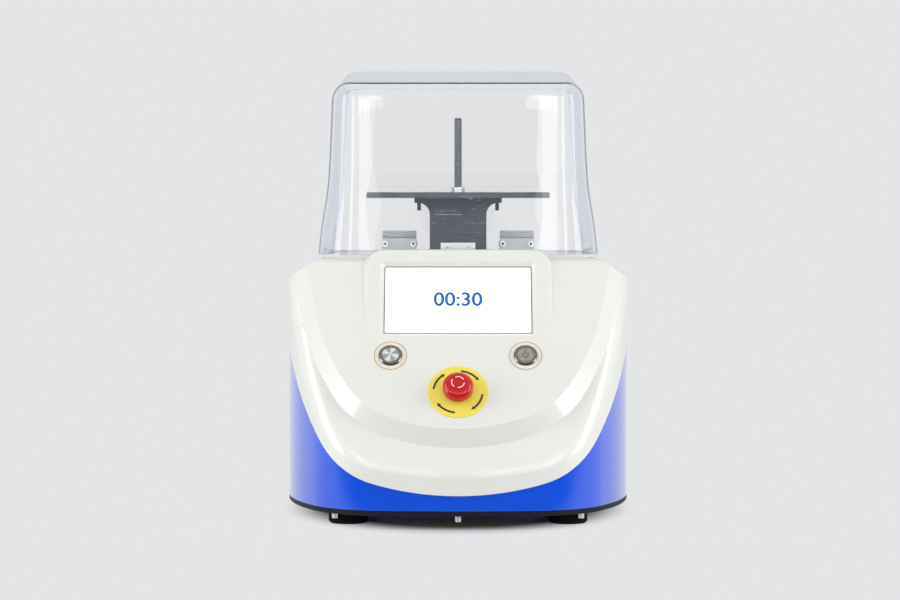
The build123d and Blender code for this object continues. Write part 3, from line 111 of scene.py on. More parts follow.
backgroundColour = paint(228, 229, 231)
surroundSettings = {"colour": paint(236, 237, 240), "strength": 0.22, "darkFront": 0.08,
                    "darkTo": -0.97, "brightFrom": -0.72}


def link(tree, source, target):
    tree.links.new(source, target)


def addMath(tree, operation, first, second=None, clamp=False):
    node = tree.nodes.new("ShaderNodeMath")
    node.operation = operation
    node.use_clamp = clamp
    for index, value in enumerate((first, second)):
        if value is None:
            continue
        if isinstance(value, (int, float)):
            node.inputs[index].default_value = value
        else:
            link(tree, value, node.inputs[index])
    return node.outputs[0]


def addRange(tree, value, low, high, toLow, toHigh):
    ramp = tree.nodes.new("ShaderNodeMapRange")
    ramp.interpolation_type = "SMOOTHSTEP"
    for socket, number in (("From Min", low), ("From Max", high), ("To Min", toLow), ("To Max", toHigh)):
        ramp.inputs[socket].default_value = number
    link(tree, value, ramp.inputs["Value"])
    return ramp.outputs[0]


def makeSurround():
    # plain background colour to the eye; mirrors and glass see it darken towards the room in front
    world = bpy.data.worlds.new("studioSurround")
    scene.world = world
    world.use_nodes = True
    tree = world.node_tree
    tree.nodes.clear()
    path = tree.nodes.new("ShaderNodeLightPath")
    place = tree.nodes.new("ShaderNodeTexCoord")
    parts = tree.nodes.new("ShaderNodeSeparateXYZ")
    link(tree, place.outputs["Generated"], parts.inputs[0])
    reach = addRange(tree, parts.outputs["Y"], surroundSettings["darkTo"], surroundSettings["brightFrom"],
                     surroundSettings["darkFront"], 1)
    through = addMath(tree, "MAXIMUM", path.outputs["Is Camera Ray"], path.outputs["Is Transmission Ray"])
    strength = addMath(tree, "MAXIMUM", through, reach)
    surround = tree.nodes.new("ShaderNodeBackground")
    surround.inputs["Color"].default_value = surroundSettings["colour"]
    surround.inputs["Strength"].default_value = surroundSettings["strength"]
    seen = tree.nodes.new("ShaderNodeBackground")
    seen.inputs["Color"].default_value = backgroundColour
    link(tree, strength, seen.inputs["Strength"])
    looked = addMath(tree, "MAXIMUM", through, path.outputs["Is Glossy Ray"])
    mix = tree.nodes.new("ShaderNodeMixShader")
    link(tree, looked, mix.inputs[0])
    link(tree, surround.outputs[0], mix.inputs[1])
    link(tree, seen.outputs[0], mix.inputs[2])
    worldOut = tree.nodes.new("ShaderNodeOutputWorld")
    link(tree, mix.outputs[0], worldOut.inputs["Surface"])


makeSurround()

# Floor: lit beside the object so that it keeps the shadow, plain background colour further out
floorSettings = {"radius": 12, "footprint": (0.165, 0.235), "litTo": 0.84, "plainFrom": 1.22,
                 "darkFront": -0.42, "brightFront": -0.22, "colour": paint(222, 223, 226),
                 "roughness": 0.3, "specular": 0.25}


def makeFloor():
    mesh = bpy.data.meshes.new("studioFloor")
    radius = floorSettings["radius"]
    corners = [(-radius, -radius, 0), (radius, -radius, 0), (radius, radius, 0), (-radius, radius, 0)]
    mesh.from_pydata(corners, [], [(0, 1, 2, 3)])
    floor = bpy.data.objects.new("studioFloor", mesh)
    scene.collection.objects.link(floor)
    material = bpy.data.materials.new("studioFloor")
    material.use_nodes = True
    tree = material.node_tree
    tree.nodes.clear()
    place = tree.nodes.new("ShaderNodeTexCoord")
    shrink = tree.nodes.new("ShaderNodeVectorMath")
    shrink.operation = "DIVIDE"
    shrink.inputs[1].default_value = (*floorSettings["footprint"], 1)
    distance = tree.nodes.new("ShaderNodeVectorMath")
    distance.operation = "LENGTH"
    link(tree, place.outputs["Object"], shrink.inputs[0])
    link(tree, shrink.outputs[0], distance.inputs[0])
    path = tree.nodes.new("ShaderNodeLightPath")
    parts = tree.nodes.new("ShaderNodeSeparateXYZ")
    link(tree, place.outputs["Object"], parts.inputs[0])
    reach = addRange(tree, parts.outputs["Y"], floorSettings["darkFront"], floorSettings["brightFront"],
                     surroundSettings["darkFront"], 1)
    eye = addMath(tree, "MAXIMUM", path.outputs["Is Camera Ray"], path.outputs["Is Transmission Ray"])
    seen = addMath(tree, "MAXIMUM", eye, path.outputs["Is Glossy Ray"])
    fade = addRange(tree, distance.outputs["Value"], floorSettings["litTo"], floorSettings["plainFrom"], 0, 1)
    lit = tree.nodes.new("ShaderNodeBsdfPrincipled")
    lit.inputs["Base Color"].default_value = floorSettings["colour"]
    lit.inputs["Roughness"].default_value = floorSettings["roughness"]
    lit.inputs["Specular IOR Level"].default_value = floorSettings["specular"]
    plain = tree.nodes.new("ShaderNodeEmission")
    plain.inputs["Color"].default_value = backgroundColour
    link(tree, addMath(tree, "MAXIMUM", eye, reach), plain.inputs["Strength"])
    mix = tree.nodes.new("ShaderNodeMixShader")
    out = tree.nodes.new("ShaderNodeOutputMaterial")
    link(tree, addMath(tree, "MULTIPLY", fade, seen), mix.inputs[0])
    link(tree, lit.outputs[0], mix.inputs[1])
    link(tree, plain.outputs[0], mix.inputs[2])
    link(tree, mix.outputs[0], out.inputs["Surface"])
    mesh.materials.append(material)


makeFloor()
print("stage 2: camera, light and floor")


# Shared surface effects, as node groups
def newGroup(name, inputs, outputs):
    group = bpy.data.node_groups.new(name, "ShaderNodeTree")
    for label, kind, value in inputs:
        socket = group.interface.new_socket(label, in_out="INPUT", socket_type=kind)
        socket.default_value = value
    for label, kind in outputs:
        group.interface.new_socket(label, in_out="OUTPUT", socket_type=kind)
    return group, group.nodes.new("NodeGroupInput"), group.nodes.new("NodeGroupOutput")


def addNoise(tree, vector, scale, detail=2, roughness=0.5):
    noise = tree.nodes.new("ShaderNodeTexNoise")
    noise.inputs["Detail"].default_value = detail
    noise.inputs["Roughness"].default_value = roughness
    link(tree, vector, noise.inputs["Vector"])
    if isinstance(scale, (int, float)):
        noise.inputs["Scale"].default_value = scale
    else:
        link(tree, scale, noise.inputs["Scale"])
    return noise.outputs["Fac"]


def addShade(tree, colour, factor):
    # the colour made darker or lighter by a factor near 1
    node = tree.nodes.new("ShaderNodeVectorMath")
    node.operation = "SCALE"
    link(tree, colour, node.inputs[0])
    link(tree, factor, node.inputs["Scale"])
    return node.outputs[0]


colourAndMore = [("Colour", "NodeSocketColor"), ("Roughness", "NodeSocketFloat"),
                 ("Height", "NodeSocketFloat")]


def makeMouldedGroup():
    # moulded plastic: a faint orange peel and a slightly uneven shine
    group, given, result = newGroup("mouldedSkin", [
        ("Colour", "NodeSocketColor", (0.8, 0.8, 0.8, 1)), ("Roughness", "NodeSocketFloat", 0.3),
        ("Spread", "NodeSocketFloat", 0.05), ("Grain", "NodeSocketFloat", 700),
        ("Tint", "NodeSocketFloat", 0.02)], colourAndMore)
    place = group.nodes.new("ShaderNodeTexCoord").outputs["Object"]
    broad = addNoise(group, place, 9)
    fine = addNoise(group, place, given.outputs["Grain"], 3, 0.6)
    centred = addMath(group, "SUBTRACT", broad, 0.5)
    shade = addMath(group, "ADD", addMath(group, "MULTIPLY", centred, given.outputs["Tint"]), 1)
    rough = addMath(group, "ADD", addMath(group, "MULTIPLY", centred, given.outputs["Spread"]),
                    given.outputs["Roughness"])
    link(group, addShade(group, given.outputs["Colour"], shade), result.inputs["Colour"])
    link(group, rough, result.inputs["Roughness"])
    link(group, fine, result.inputs["Height"])
    return group


def makeBrushedGroup():
    # brushed or ground metal: grain drawn out along one axis
    group, given, result = newGroup("brushedGrain", [
        ("Colour", "NodeSocketColor", (0.6, 0.6, 0.6, 1)), ("Roughness", "NodeSocketFloat", 0.35),
        ("Spread", "NodeSocketFloat", 0.25), ("Stretch", "NodeSocketVector", (8, 900, 900)),
        ("Tint", "NodeSocketFloat", 0.2)], colourAndMore)
    place = group.nodes.new("ShaderNodeTexCoord").outputs["Object"]
    drawn = group.nodes.new("ShaderNodeVectorMath")
    drawn.operation = "MULTIPLY"
    link(group, place, drawn.inputs[0])
    link(group, given.outputs["Stretch"], drawn.inputs[1])
    grain = addNoise(group, drawn.outputs[0], 1, 4, 0.6)
    centred = addMath(group, "SUBTRACT", grain, 0.5)
    shade = addMath(group, "ADD", addMath(group, "MULTIPLY", centred, given.outputs["Tint"]), 1)
    rough = addMath(group, "ADD", addMath(group, "MULTIPLY", centred, given.outputs["Spread"]),
                    given.outputs["Roughness"])
    link(group, addShade(group, given.outputs["Colour"], shade), result.inputs["Colour"])
    link(group, rough, result.inputs["Roughness"])
    link(group, grain, result.inputs["Height"])
    return group


turnedSettings = {"fanScale": 9, "paintedLightOffset": 0.12, "tint": 0.5}


def makeTurnedGroup():
    # turned metal: fine rings round an axis through Centre, along Axis, and painted light across them: an X
    # of painted highlight and painted shade
    group, given, result = newGroup("turnedRings", [
        ("Colour", "NodeSocketColor", (0.6, 0.6, 0.6, 1)), ("Roughness", "NodeSocketFloat", 0.3),
        ("Spread", "NodeSocketFloat", 0.25), ("Centre", "NodeSocketVector", (0, 0, 0)),
        ("Axis", "NodeSocketVector", (0, 0, 1)), ("Rings", "NodeSocketFloat", 2500),
        ("Spokes", "NodeSocketFloat", 0), ("Painted Light", "NodeSocketFloat", 0),
        ("Painted Light Line", "NodeSocketVector", (1, 0, 0))], colourAndMore)
    place = group.nodes.new("ShaderNodeTexCoord").outputs["Object"]
    arm = group.nodes.new("ShaderNodeVectorMath")
    arm.operation = "SUBTRACT"
    link(group, place, arm.inputs[0])
    link(group, given.outputs["Centre"], arm.inputs[1])
    across = group.nodes.new("ShaderNodeVectorMath")
    across.operation = "CROSS_PRODUCT"
    link(group, arm.outputs[0], across.inputs[0])
    link(group, given.outputs["Axis"], across.inputs[1])
    radius = group.nodes.new("ShaderNodeVectorMath")
    radius.operation = "LENGTH"
    link(group, across.outputs[0], radius.inputs[0])
    ringPlace = group.nodes.new("ShaderNodeCombineXYZ")
    ringCount = addMath(group, "MULTIPLY", radius.outputs["Value"], given.outputs["Rings"])
    link(group, ringCount, ringPlace.inputs[0])
    rings = addNoise(group, ringPlace.outputs[0], 1, 3, 0.6)
    heading = group.nodes.new("ShaderNodeVectorMath")
    heading.operation = "NORMALIZE"
    link(group, across.outputs[0], heading.inputs[0])
    fan = addNoise(group, heading.outputs[0], turnedSettings["fanScale"], 3, 0.7)
    spokes = addMath(group, "MULTIPLY", addMath(group, "SUBTRACT", fan, 0.5), given.outputs["Spokes"])
    # painted light: the colour is lighter in two opposite sectors round the axis and darker in the two
    # between, a painted highlight and painted shade
    facing = group.nodes.new("ShaderNodeVectorMath")
    facing.operation = "DOT_PRODUCT"
    link(group, heading.outputs[0], facing.inputs[0])
    link(group, given.outputs["Painted Light Line"], facing.inputs[1])
    double = addMath(group, "SUBTRACT", addMath(group, "POWER", facing.outputs["Value"], 2), 0.5)
    hollow = addMath(group, "SUBTRACT", turnedSettings["paintedLightOffset"], addMath(group, "POWER", double, 2))
    cross = addMath(group, "MULTIPLY", hollow, given.outputs["Painted Light"])
    ringed = addMath(group, "ADD", addMath(group, "SUBTRACT", rings, 0.5), cross)
    centred = addMath(group, "ADD", ringed, spokes)
    shade = addMath(group, "ADD", addMath(group, "MULTIPLY", centred, turnedSettings["tint"]), 1)
    rough = addMath(group, "ADD", addMath(group, "MULTIPLY", centred, given.outputs["Spread"]),
                    given.outputs["Roughness"])
    link(group, addShade(group, given.outputs["Colour"], shade), result.inputs["Colour"])
    link(group, rough, result.inputs["Roughness"])
    link(group, rings, result.inputs["Height"])
    return group


# each scratch layer has its own turn and stretch of the cells, and noise leaves only patches of it
scratchSettings = {"layers": ((0.35, 7), (-0.6, 5), (1.3, 9)), "tilt": 0.4, "spin": 1.7, "patchScale": 25}


def makeScratchGroup():
    # a few light scratches: thin lines where a stretched cell pattern changes
    group, given, result = newGroup("handlingScratches", [
        ("Density", "NodeSocketFloat", 40), ("Width", "NodeSocketFloat", 0.02),
        ("Cover", "NodeSocketFloat", 0.5)], [("Mask", "NodeSocketFloat")])
    place = group.nodes.new("ShaderNodeTexCoord").outputs["Object"]
    masks = []
    for turn, stretch in scratchSettings["layers"]:
        mapping = group.nodes.new("ShaderNodeMapping")
        mapping.inputs["Rotation"].default_value = (turn * scratchSettings["tilt"], turn,
                                                    turn * scratchSettings["spin"])
        mapping.inputs["Scale"].default_value = (1, stretch, stretch)
        link(group, place, mapping.inputs["Vector"])
        cells = group.nodes.new("ShaderNodeTexVoronoi")
        cells.feature = "DISTANCE_TO_EDGE"
        link(group, mapping.outputs[0], cells.inputs["Vector"])
        link(group, given.outputs["Density"], cells.inputs["Scale"])
        line = addMath(group, "LESS_THAN", cells.outputs["Distance"], given.outputs["Width"])
        patch = addNoise(group, mapping.outputs[0], scratchSettings["patchScale"])
        covered = addMath(group, "GREATER_THAN", patch, given.outputs["Cover"])
        masks.append(addMath(group, "MULTIPLY", line, covered))
    either = addMath(group, "MAXIMUM", masks[0], masks[1])
    link(group, addMath(group, "MAXIMUM", either, masks[2]), result.inputs["Mask"])
    return group


moulded = makeMouldedGroup()
brushed = makeBrushedGroup()
turned = makeTurnedGroup()
scratches = makeScratchGroup()


def newMaterial(name, look):
    material = bpy.data.materials.new(name)
    material.use_nodes = True
    tree = material.node_tree
    shader = tree.nodes["Principled BSDF"]
    for socket, value in look.items():
        shader.inputs[socket].default_value = value
    return material, tree, shader


def useGroup(tree, group, values):
    node = tree.nodes.new("ShaderNodeGroup")
    node.node_tree = group
    for socket, value in values.items():
        node.inputs[socket].default_value = value
    return node


def finishWith(name, group, values, look=None, bump=0.02, bumpDistance=0.0002):
    # a material whose colour, shine and small relief come from a shared group
    material, tree, shader = newMaterial(name, look or {})
    effect = useGroup(tree, group, values)
    link(tree, effect.outputs["Colour"], shader.inputs["Base Color"])
    link(tree, effect.outputs["Roughness"], shader.inputs["Roughness"])
    relief = tree.nodes.new("ShaderNodeBump")
    relief.inputs["Strength"].default_value = bump
    relief.inputs["Distance"].default_value = bumpDistance
    link(tree, effect.outputs["Height"], relief.inputs["Height"])
    link(tree, relief.outputs[0], shader.inputs["Normal"])
    return material


def scratched(material, values, colour):
    # scratches of another colour drawn over what the material already has
    tree = material.node_tree
    shader = tree.nodes["Principled BSDF"]
    under = shader.inputs["Base Color"].links[0].from_socket
    marks = useGroup(tree, scratches, values)
    mix = tree.nodes.new("ShaderNodeMix")
    mix.data_type = "RGBA"
    link(tree, marks.outputs["Mask"], mix.inputs[0])
    link(tree, under, mix.inputs[6])
    mix.inputs[7].default_value = colour
    link(tree, mix.outputs[2], shader.inputs["Base Color"])
    return material


metal = {"Metallic": 1}
gloss = {"Coat Weight": 0.6, "Coat Roughness": 0.05}
matt = {"Specular IOR Level": 0.15}

finishes = {
    "white_moulding": finishWith("whiteMoulding", moulded, {
        "Colour": paint(233, 234, 227), "Roughness": 0.3, "Spread": 0.06, "Tint": 0.015}, gloss, 0.015),
    "blue_moulding": finishWith("blueMoulding", moulded, {
        "Colour": paint(4, 82, 226), "Roughness": 0.14, "Spread": 0.05, "Tint": 0.03},
        {"Coat Weight": 1, "Coat Roughness": 0.03}, 0.008),
    "dark_plate": finishWith("darkPaint", moulded, {
        "Colour": paint(18, 22, 32), "Roughness": 0.5, "Spread": 0.1, "Grain": 1800, "Tint": 0.1},
        matt, 0.15),
    "black_rubber": finishWith("blackRubber", moulded, {
        "Colour": paint(8, 8, 9), "Roughness": 0.8, "Spread": 0.15, "Grain": 2600, "Tint": 0.2}, matt, 0.3),
    "grey_rubber": finishWith("greyRubber", moulded, {
        "Colour": paint(222, 224, 226), "Roughness": 0.5, "Spread": 0.15, "Grain": 2200, "Tint": 0.1},
        {}, 0.2),
    "bright_screw": finishWith("brightScrew", brushed, {
        "Colour": paint(214, 215, 216), "Roughness": 0.25, "Stretch": (400, 400, 1500)}, metal, 0.05),
    "cream_ring": finishWith("creamPrint", moulded, {
        "Colour": paint(243, 236, 220), "Roughness": 0.4, "Tint": 0.03}, {}, 0.02),
    "bezel_metal": finishWith("bezelMetal", brushed, {
        "Colour": paint(122, 121, 120), "Roughness": 0.26, "Stretch": (900, 900, 60)}, metal, 0.03),
    "yellow_plate": finishWith("yellowPlate", moulded, {
        "Colour": paint(246, 228, 92), "Roughness": 0.45, "Tint": 0.04}, {}, 0.04),
    "black_plastic": finishWith("blackPlastic", moulded, {
        "Colour": paint(34, 34, 36), "Roughness": 0.45, "Spread": 0.12, "Grain": 1500, "Tint": 0.1},
        {}, 0.12),
    "red_head": finishWith("redHead", moulded, {
        "Colour": paint(200, 8, 16), "Roughness": 0.2, "Spread": 0.05, "Tint": 0.08},
        {"Specular IOR Level": 0.3, "Coat Weight": 0.35, "Coat Roughness": 0.05}, 0.01),
    "steel": finishWith("groundSteel", brushed, {
        "Colour": paint(186, 188, 190), "Roughness": 0.3, "Stretch": (60, 900, 900)}, metal, 0.05),
    "tray_steel": finishWith("traySteel", brushed, {
        "Colour": paint(196, 199, 202), "Roughness": 0.34, "Stretch": (12, 900, 900)}, metal, 0.04),
    "aluminium": finishWith("milledAluminium", brushed, {
        "Colour": paint(205, 207, 209), "Roughness": 0.34, "Stretch": (25, 700, 700)}, metal, 0.06),
    "bronze": finishWith("sinteredBronze", moulded, {
        "Colour": paint(176, 132, 70), "Roughness": 0.42, "Spread": 0.2, "Grain": 2400, "Tint": 0.25},
        metal, 0.1),
    "motor_grey": finishWith("motorPaint", moulded, {
        "Colour": paint(92, 97, 102), "Roughness": 0.4, "Spread": 0.1, "Grain": 1300, "Tint": 0.1}, {}, 0.12),
    "belt_rubber": finishWith("beltRubber", brushed, {
        "Colour": paint(28, 28, 29), "Roughness": 0.7, "Stretch": (500, 60, 500)}, {}, 0.3),
    "zinc_plate": finishWith("zincPlate", moulded, {
        "Colour": paint(150, 154, 158), "Roughness": 0.38, "Spread": 0.25, "Grain": 260, "Tint": 0.25},
        {"Metallic": 0.8}, 0.05),
    "supply_case": finishWith("supplyCase", brushed, {
        "Colour": paint(198, 201, 203), "Roughness": 0.36, "Stretch": (700, 20, 700)}, metal, 0.05),
    "board_green": finishWith("boardGreen", moulded, {
        "Colour": paint(16, 92, 52), "Roughness": 0.3, "Grain": 900, "Tint": 0.3},
        {"Coat Weight": 0.5}, 0.05),
}
darkAnodised = finishWith("darkAnodised", moulded, {
    "Colour": paint(78, 84, 92), "Roughness": 0.42, "Spread": 0.2, "Grain": 1600, "Tint": 0.25},
    {"Metallic": 0.35}, 0.15)
finishes["anodised_dark"] = scratched(darkAnodised, {"Density": 30, "Width": 0.01, "Cover": 0.61},
                                      paint(150, 156, 166))


rubLine = {"drop": 0.0185, "half": 0.0004, "from": -0.026, "to": 0.004, "colour": paint(176, 180, 186),
           "wander": 0.001, "wanderScale": 120, "wearScale": 900, "wear": (0.35, 0.5, 0.2, 1)}


def makeRubbedBracket():
    # the column's front carries one rubbed line across its left half
    material = darkAnodised.copy()
    material.name = "rubbedAnodised"
    tree = material.node_tree
    shader = tree.nodes["Principled BSDF"]
    under = shader.inputs["Base Color"].links[0].from_socket
    place = tree.nodes.new("ShaderNodeTexCoord").outputs["Object"]
    parts = tree.nodes.new("ShaderNodeSeparateXYZ")
    link(tree, place, parts.inputs[0])
    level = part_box("platform")[0].z - rubLine["drop"]
    centred = addMath(tree, "SUBTRACT", addNoise(tree, place, rubLine["wanderScale"]), 0.5)
    wander = addMath(tree, "MULTIPLY", centred, rubLine["wander"])
    above = addMath(tree, "ADD", addMath(tree, "SUBTRACT", parts.outputs["Z"], level), wander)
    inside = addMath(tree, "LESS_THAN", addMath(tree, "ABSOLUTE", above), rubLine["half"])
    for operation, edge in (("GREATER_THAN", rubLine["from"]), ("LESS_THAN", rubLine["to"])):
        inside = addMath(tree, "MULTIPLY", inside, addMath(tree, operation, parts.outputs["X"], edge))
    wear = addRange(tree, addNoise(tree, place, rubLine["wearScale"]), *rubLine["wear"])
    worn = addMath(tree, "MULTIPLY", inside, wear)
    mix = tree.nodes.new("ShaderNodeMix")
    mix.data_type = "RGBA"
    link(tree, worn, mix.inputs[0])
    link(tree, under, mix.inputs[6])
    mix.inputs[7].default_value = rubLine["colour"]
    link(tree, mix.outputs[2], shader.inputs["Base Color"])
    return material


screenLook = {"Base Color": paint(240, 242, 244), "Roughness": 0.08, "Emission Color": paint(252, 253, 255),
              "Emission Strength": 0.75, "Coat Weight": 1, "Coat Roughness": 0.02}


def makeScreenGlass():
    # lit panel: white light through the glass, brighter than the moulding round it
    material, tree, shader = newMaterial("screenGlass", screenLook)
    effect = useGroup(tree, moulded, {"Colour": screenLook["Base Color"],
                                      "Roughness": screenLook["Roughness"], "Spread": 0.03})
    link(tree, effect.outputs["Roughness"], shader.inputs["Roughness"])
    return material


domeSettings = {"rimTop": 0.27905, "rimColour": paint(214, 220, 230), "rimRoughness": 0.5,
                "edgeTint": (0.4, 0.5, 0.7, 1), "edgeFrom": 0.45, "edgeTo": 0.88,
                "shadowTint": (0.95, 0.965, 0.98, 1)}


def makeClearDome():
    # clear moulded dome: light passes through to what is inside, and its rims look blue-grey
    material, tree, shader = newMaterial("clearDome", {
        "Roughness": 0, "IOR": 1.4, "Transmission Weight": 1})
    effect = useGroup(tree, moulded, {"Colour": (1, 1, 1, 1), "Grain": 60, "Tint": 0.02})
    weight = tree.nodes.new("ShaderNodeLayerWeight")
    weight.inputs["Blend"].default_value = 0.5
    mix = tree.nodes.new("ShaderNodeMix")
    mix.data_type = "RGBA"
    edge = addRange(tree, weight.outputs["Facing"], domeSettings["edgeFrom"], domeSettings["edgeTo"], 0, 1)
    link(tree, edge, mix.inputs[0])
    link(tree, effect.outputs["Colour"], mix.inputs[6])
    mix.inputs[7].default_value = domeSettings["edgeTint"]
    link(tree, mix.outputs[2], shader.inputs["Base Color"])
    # the sawn foot of the wall is frosted
    place = tree.nodes.new("ShaderNodeTexCoord")
    parts = tree.nodes.new("ShaderNodeSeparateXYZ")
    link(tree, place.outputs["Object"], parts.inputs[0])
    frosted = tree.nodes.new("ShaderNodeBsdfPrincipled")
    frosted.inputs["Base Color"].default_value = domeSettings["rimColour"]
    frosted.inputs["Roughness"].default_value = domeSettings["rimRoughness"]
    rim = tree.nodes.new("ShaderNodeMixShader")
    link(tree, addMath(tree, "LESS_THAN", parts.outputs["Z"], domeSettings["rimTop"]), rim.inputs[0])
    link(tree, shader.outputs[0], rim.inputs[1])
    link(tree, frosted.outputs[0], rim.inputs[2])
    path = tree.nodes.new("ShaderNodeLightPath")
    either = addMath(tree, "MAXIMUM", path.outputs["Is Shadow Ray"], path.outputs["Is Diffuse Ray"])
    through = tree.nodes.new("ShaderNodeBsdfTransparent")
    through.inputs["Color"].default_value = domeSettings["shadowTint"]
    blend = tree.nodes.new("ShaderNodeMixShader")
    link(tree, either, blend.inputs[0])
    link(tree, rim.outputs[0], blend.inputs[1])
    link(tree, through.outputs[0], blend.inputs[2])
    link(tree, blend.outputs[0], tree.nodes["Material Output"].inputs["Surface"])
    return material


finishes["screen_glass"] = makeScreenGlass()
finishes["clear_dome"] = makeClearDome()


# the control panel leans back by this much, and the screen by a little less
panelLean = radians(36)
screenLean = radians(33.5)
# the painted highlight on the caps runs along a line this far across and this far up the panel
capSettings = {"roughness": 0.24, "paintedLightAcross": 0.92, "paintedLightUp": 0.39}


def makeTurnedCap(node, name, colour, rings, spokes, paintedLight):
    low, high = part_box(node)
    rise = capSettings["paintedLightUp"]
    paintedLightLine = Vector((capSettings["paintedLightAcross"], rise * sin(panelLean), rise * cos(panelLean)))
    return finishWith(name, turned, {
        "Colour": colour, "Roughness": capSettings["roughness"], "Centre": (low + high) / 2,
        "Axis": Vector((0, -cos(panelLean), sin(panelLean))), "Rings": rings, "Spokes": spokes,
        "Painted Light": paintedLight, "Painted Light Line": paintedLightLine}, metal, 0.08)


satinPlate = finishWith("satinPlate", brushed, {
    "Colour": paint(230, 234, 236), "Roughness": 0.4, "Stretch": (40, 700, 700)}, {"Metallic": 0.1}, 0.04)
darkSteel = finishWith("darkSteel", brushed, {
    "Colour": paint(72, 74, 80), "Roughness": 0.32, "Stretch": (500, 500, 60)}, {"Metallic": 0.8}, 0.05)
gasketGrey = finishWith("gasketGrey", moulded, {
    "Colour": paint(104, 108, 110), "Roughness": 0.6, "Spread": 0.15, "Grain": 2400, "Tint": 0.15}, {}, 0.15)

ownFinish = {
    "lid_clamp_plates": satinPlate,
    "lid_striker": satinPlate,
    "bracket_screws": darkSteel,
    "clamp_stud": darkSteel,
    "platform_bracket": makeRubbedBracket(),
    "screen_gasket": gasketGrey,
    # each cap's last number sets how strongly its painted highlight and painted shade show
    "unlock_cap": makeTurnedCap("unlock_cap", "unlockCapMetal", paint(206, 207, 202), 700, 0.7, 5),
    "power_cap": makeTurnedCap("power_cap", "powerCapMetal", paint(168, 168, 160), 2600, 0.2, 0.6),
}
print("stage 3: finishes ready")


def dress(piece, node):
    piece.data.materials.clear()
    piece.data.materials.append(ownFinish[node] if node in ownFinish else finishes[slotOf[node]])


for node, piece in nodes.items():
    dress(piece, node)
print("stage 4: CAD nodes dressed")

# Places on the sloped panel, the screen face and round them, from the CAD in metres
panelFace = {"foot": Vector((0, -0.221, 0.1033)), "lean": panelLean}
screenFace = {"foot": Vector((0, -0.15801, 0.19)), "lean": screenLean}
# both buttons sit this far up the panel and this far apart
buttonUp = 0.088873
buttonSpacing = 0.1412


def facePlace(face, across, up, lift=0):
    lean = face["lean"]
    offset = Vector((across, up * sin(lean) - lift * cos(lean), up * cos(lean) + lift * sin(lean)))
    return face["foot"] + offset


def faceMatrix(face, across, up, lift=0):
    # x to the right, y up the face and z out of it
    tip = Matrix.Rotation(pi / 2 - face["lean"], 4, "X")
    return Matrix.Translation(facePlace(face, across, up, lift)) @ tip


# Geometry node trees for what repeats or follows a path
socketKinds = {int: "NodeSocketInt", float: "NodeSocketFloat", tuple: "NodeSocketVector"}
weldDistance = 1e-7


class GrowTree:
    # a tree with one named input for each size, ending in Realize Instances and Set Material
    def __init__(self, name, sizes):
        self.tree = bpy.data.node_groups.new(name, "GeometryNodeTree")
        self.tree.interface.new_socket("Places", in_out="INPUT", socket_type="NodeSocketGeometry")
        self.sizes = sizes
        for label, value in sizes.items():
            self.tree.interface.new_socket(label, in_out="INPUT", socket_type=socketKinds[type(value)])
        self.tree.interface.new_socket("Geometry", in_out="OUTPUT", socket_type="NodeSocketGeometry")
        self.given = self.tree.nodes.new("NodeGroupInput").outputs
        self.result = self.tree.nodes.new("NodeGroupOutput").inputs["Geometry"]

    def add(self, kind, values=None, **settings):
        node = self.tree.nodes.new("GeometryNode" + kind)
        for name, value in settings.items():
            setattr(node, name, value)
        for socket, value in (values or {}).items():
            if isinstance(value, bpy.types.NodeSocket):
                link(self.tree, value, node.inputs[socket])
            else:
                node.inputs[socket].default_value = value
        return node.outputs

    def painted(self, geometry, material):
        return self.add("SetMaterial", {"Geometry": geometry, "Material": material})["Geometry"]

    def finish(self, geometry, material=None):
        real = self.add("RealizeInstances", {"Geometry": geometry})["Geometry"]
        link(self.tree, self.painted(real, material) if material else real, self.result)
        return self


def grow(name, growTree, body, places=((0, 0, 0),), place=None):
    # one plain mesh from the tree: the modifier lives on a holder that is thrown away
    holderMesh = bpy.data.meshes.new(name + "Places")
    holderMesh.from_pydata([tuple(spot) for spot in places], [], [])
    holder = bpy.data.objects.new(name + "Places", holderMesh)
    scene.collection.objects.link(holder)
    modifier = holder.modifiers.new(name, "NODES")
    modifier.node_group = growTree.tree
    for socket in growTree.tree.interface.items_tree:
        if socket.in_out == "INPUT" and socket.name in growTree.sizes:
            modifier[socket.identifier] = growTree.sizes[socket.name]
    bpy.context.view_layer.update()
    ready = holder.evaluated_get(bpy.context.evaluated_depsgraph_get())
    mesh = bpy.data.meshes.new_from_object(ready)
    holder.modifiers.remove(modifier)
    bpy.data.objects.remove(holder)
    return settle(name, mesh, body, place)


def settle(name, mesh, body, place=None):
    # the mesh goes to its place, its faces turn outwards, and it rides its body
    if place is not None:
        mesh.transform(place)
    shaped = bmesh.new()
    shaped.from_mesh(mesh)
    bmesh.ops.remove_doubles(shaped, verts=shaped.verts, dist=weldDistance)
    bmesh.ops.recalc_face_normals(shaped, faces=shaped.faces)
    shaped.to_mesh(mesh)
    shaped.free()
    mesh.name = name
    piece = bpy.data.objects.new(name, mesh)
    scene.collection.objects.link(piece)
    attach(piece, body)
    return piece


inkSettings = {"outline": paint(184, 134, 60), "numerals": paint(24, 92, 178), "dark": paint(30, 28, 24),
               "light": paint(238, 238, 240)}


def makeInk(name, colour, roughness=0.5):
    return finishWith(name, moulded, {"Colour": colour, "Roughness": roughness, "Spread": 0.1, "Grain": 2400,
                                      "Tint": 0.12}, {}, 0.05)


outlineInk = makeInk("outlineInk", inkSettings["outline"])
numeralInk = makeInk("numeralInk", inkSettings["numerals"])
darkInk = makeInk("darkInk", inkSettings["dark"])
lightInk = makeInk("lightInk", inkSettings["light"])

# Printed outline round both button rings
ringOutline = {"radius": 0.01685, "width": 0.0007, "height": 0.0001, "lift": 0.00062}


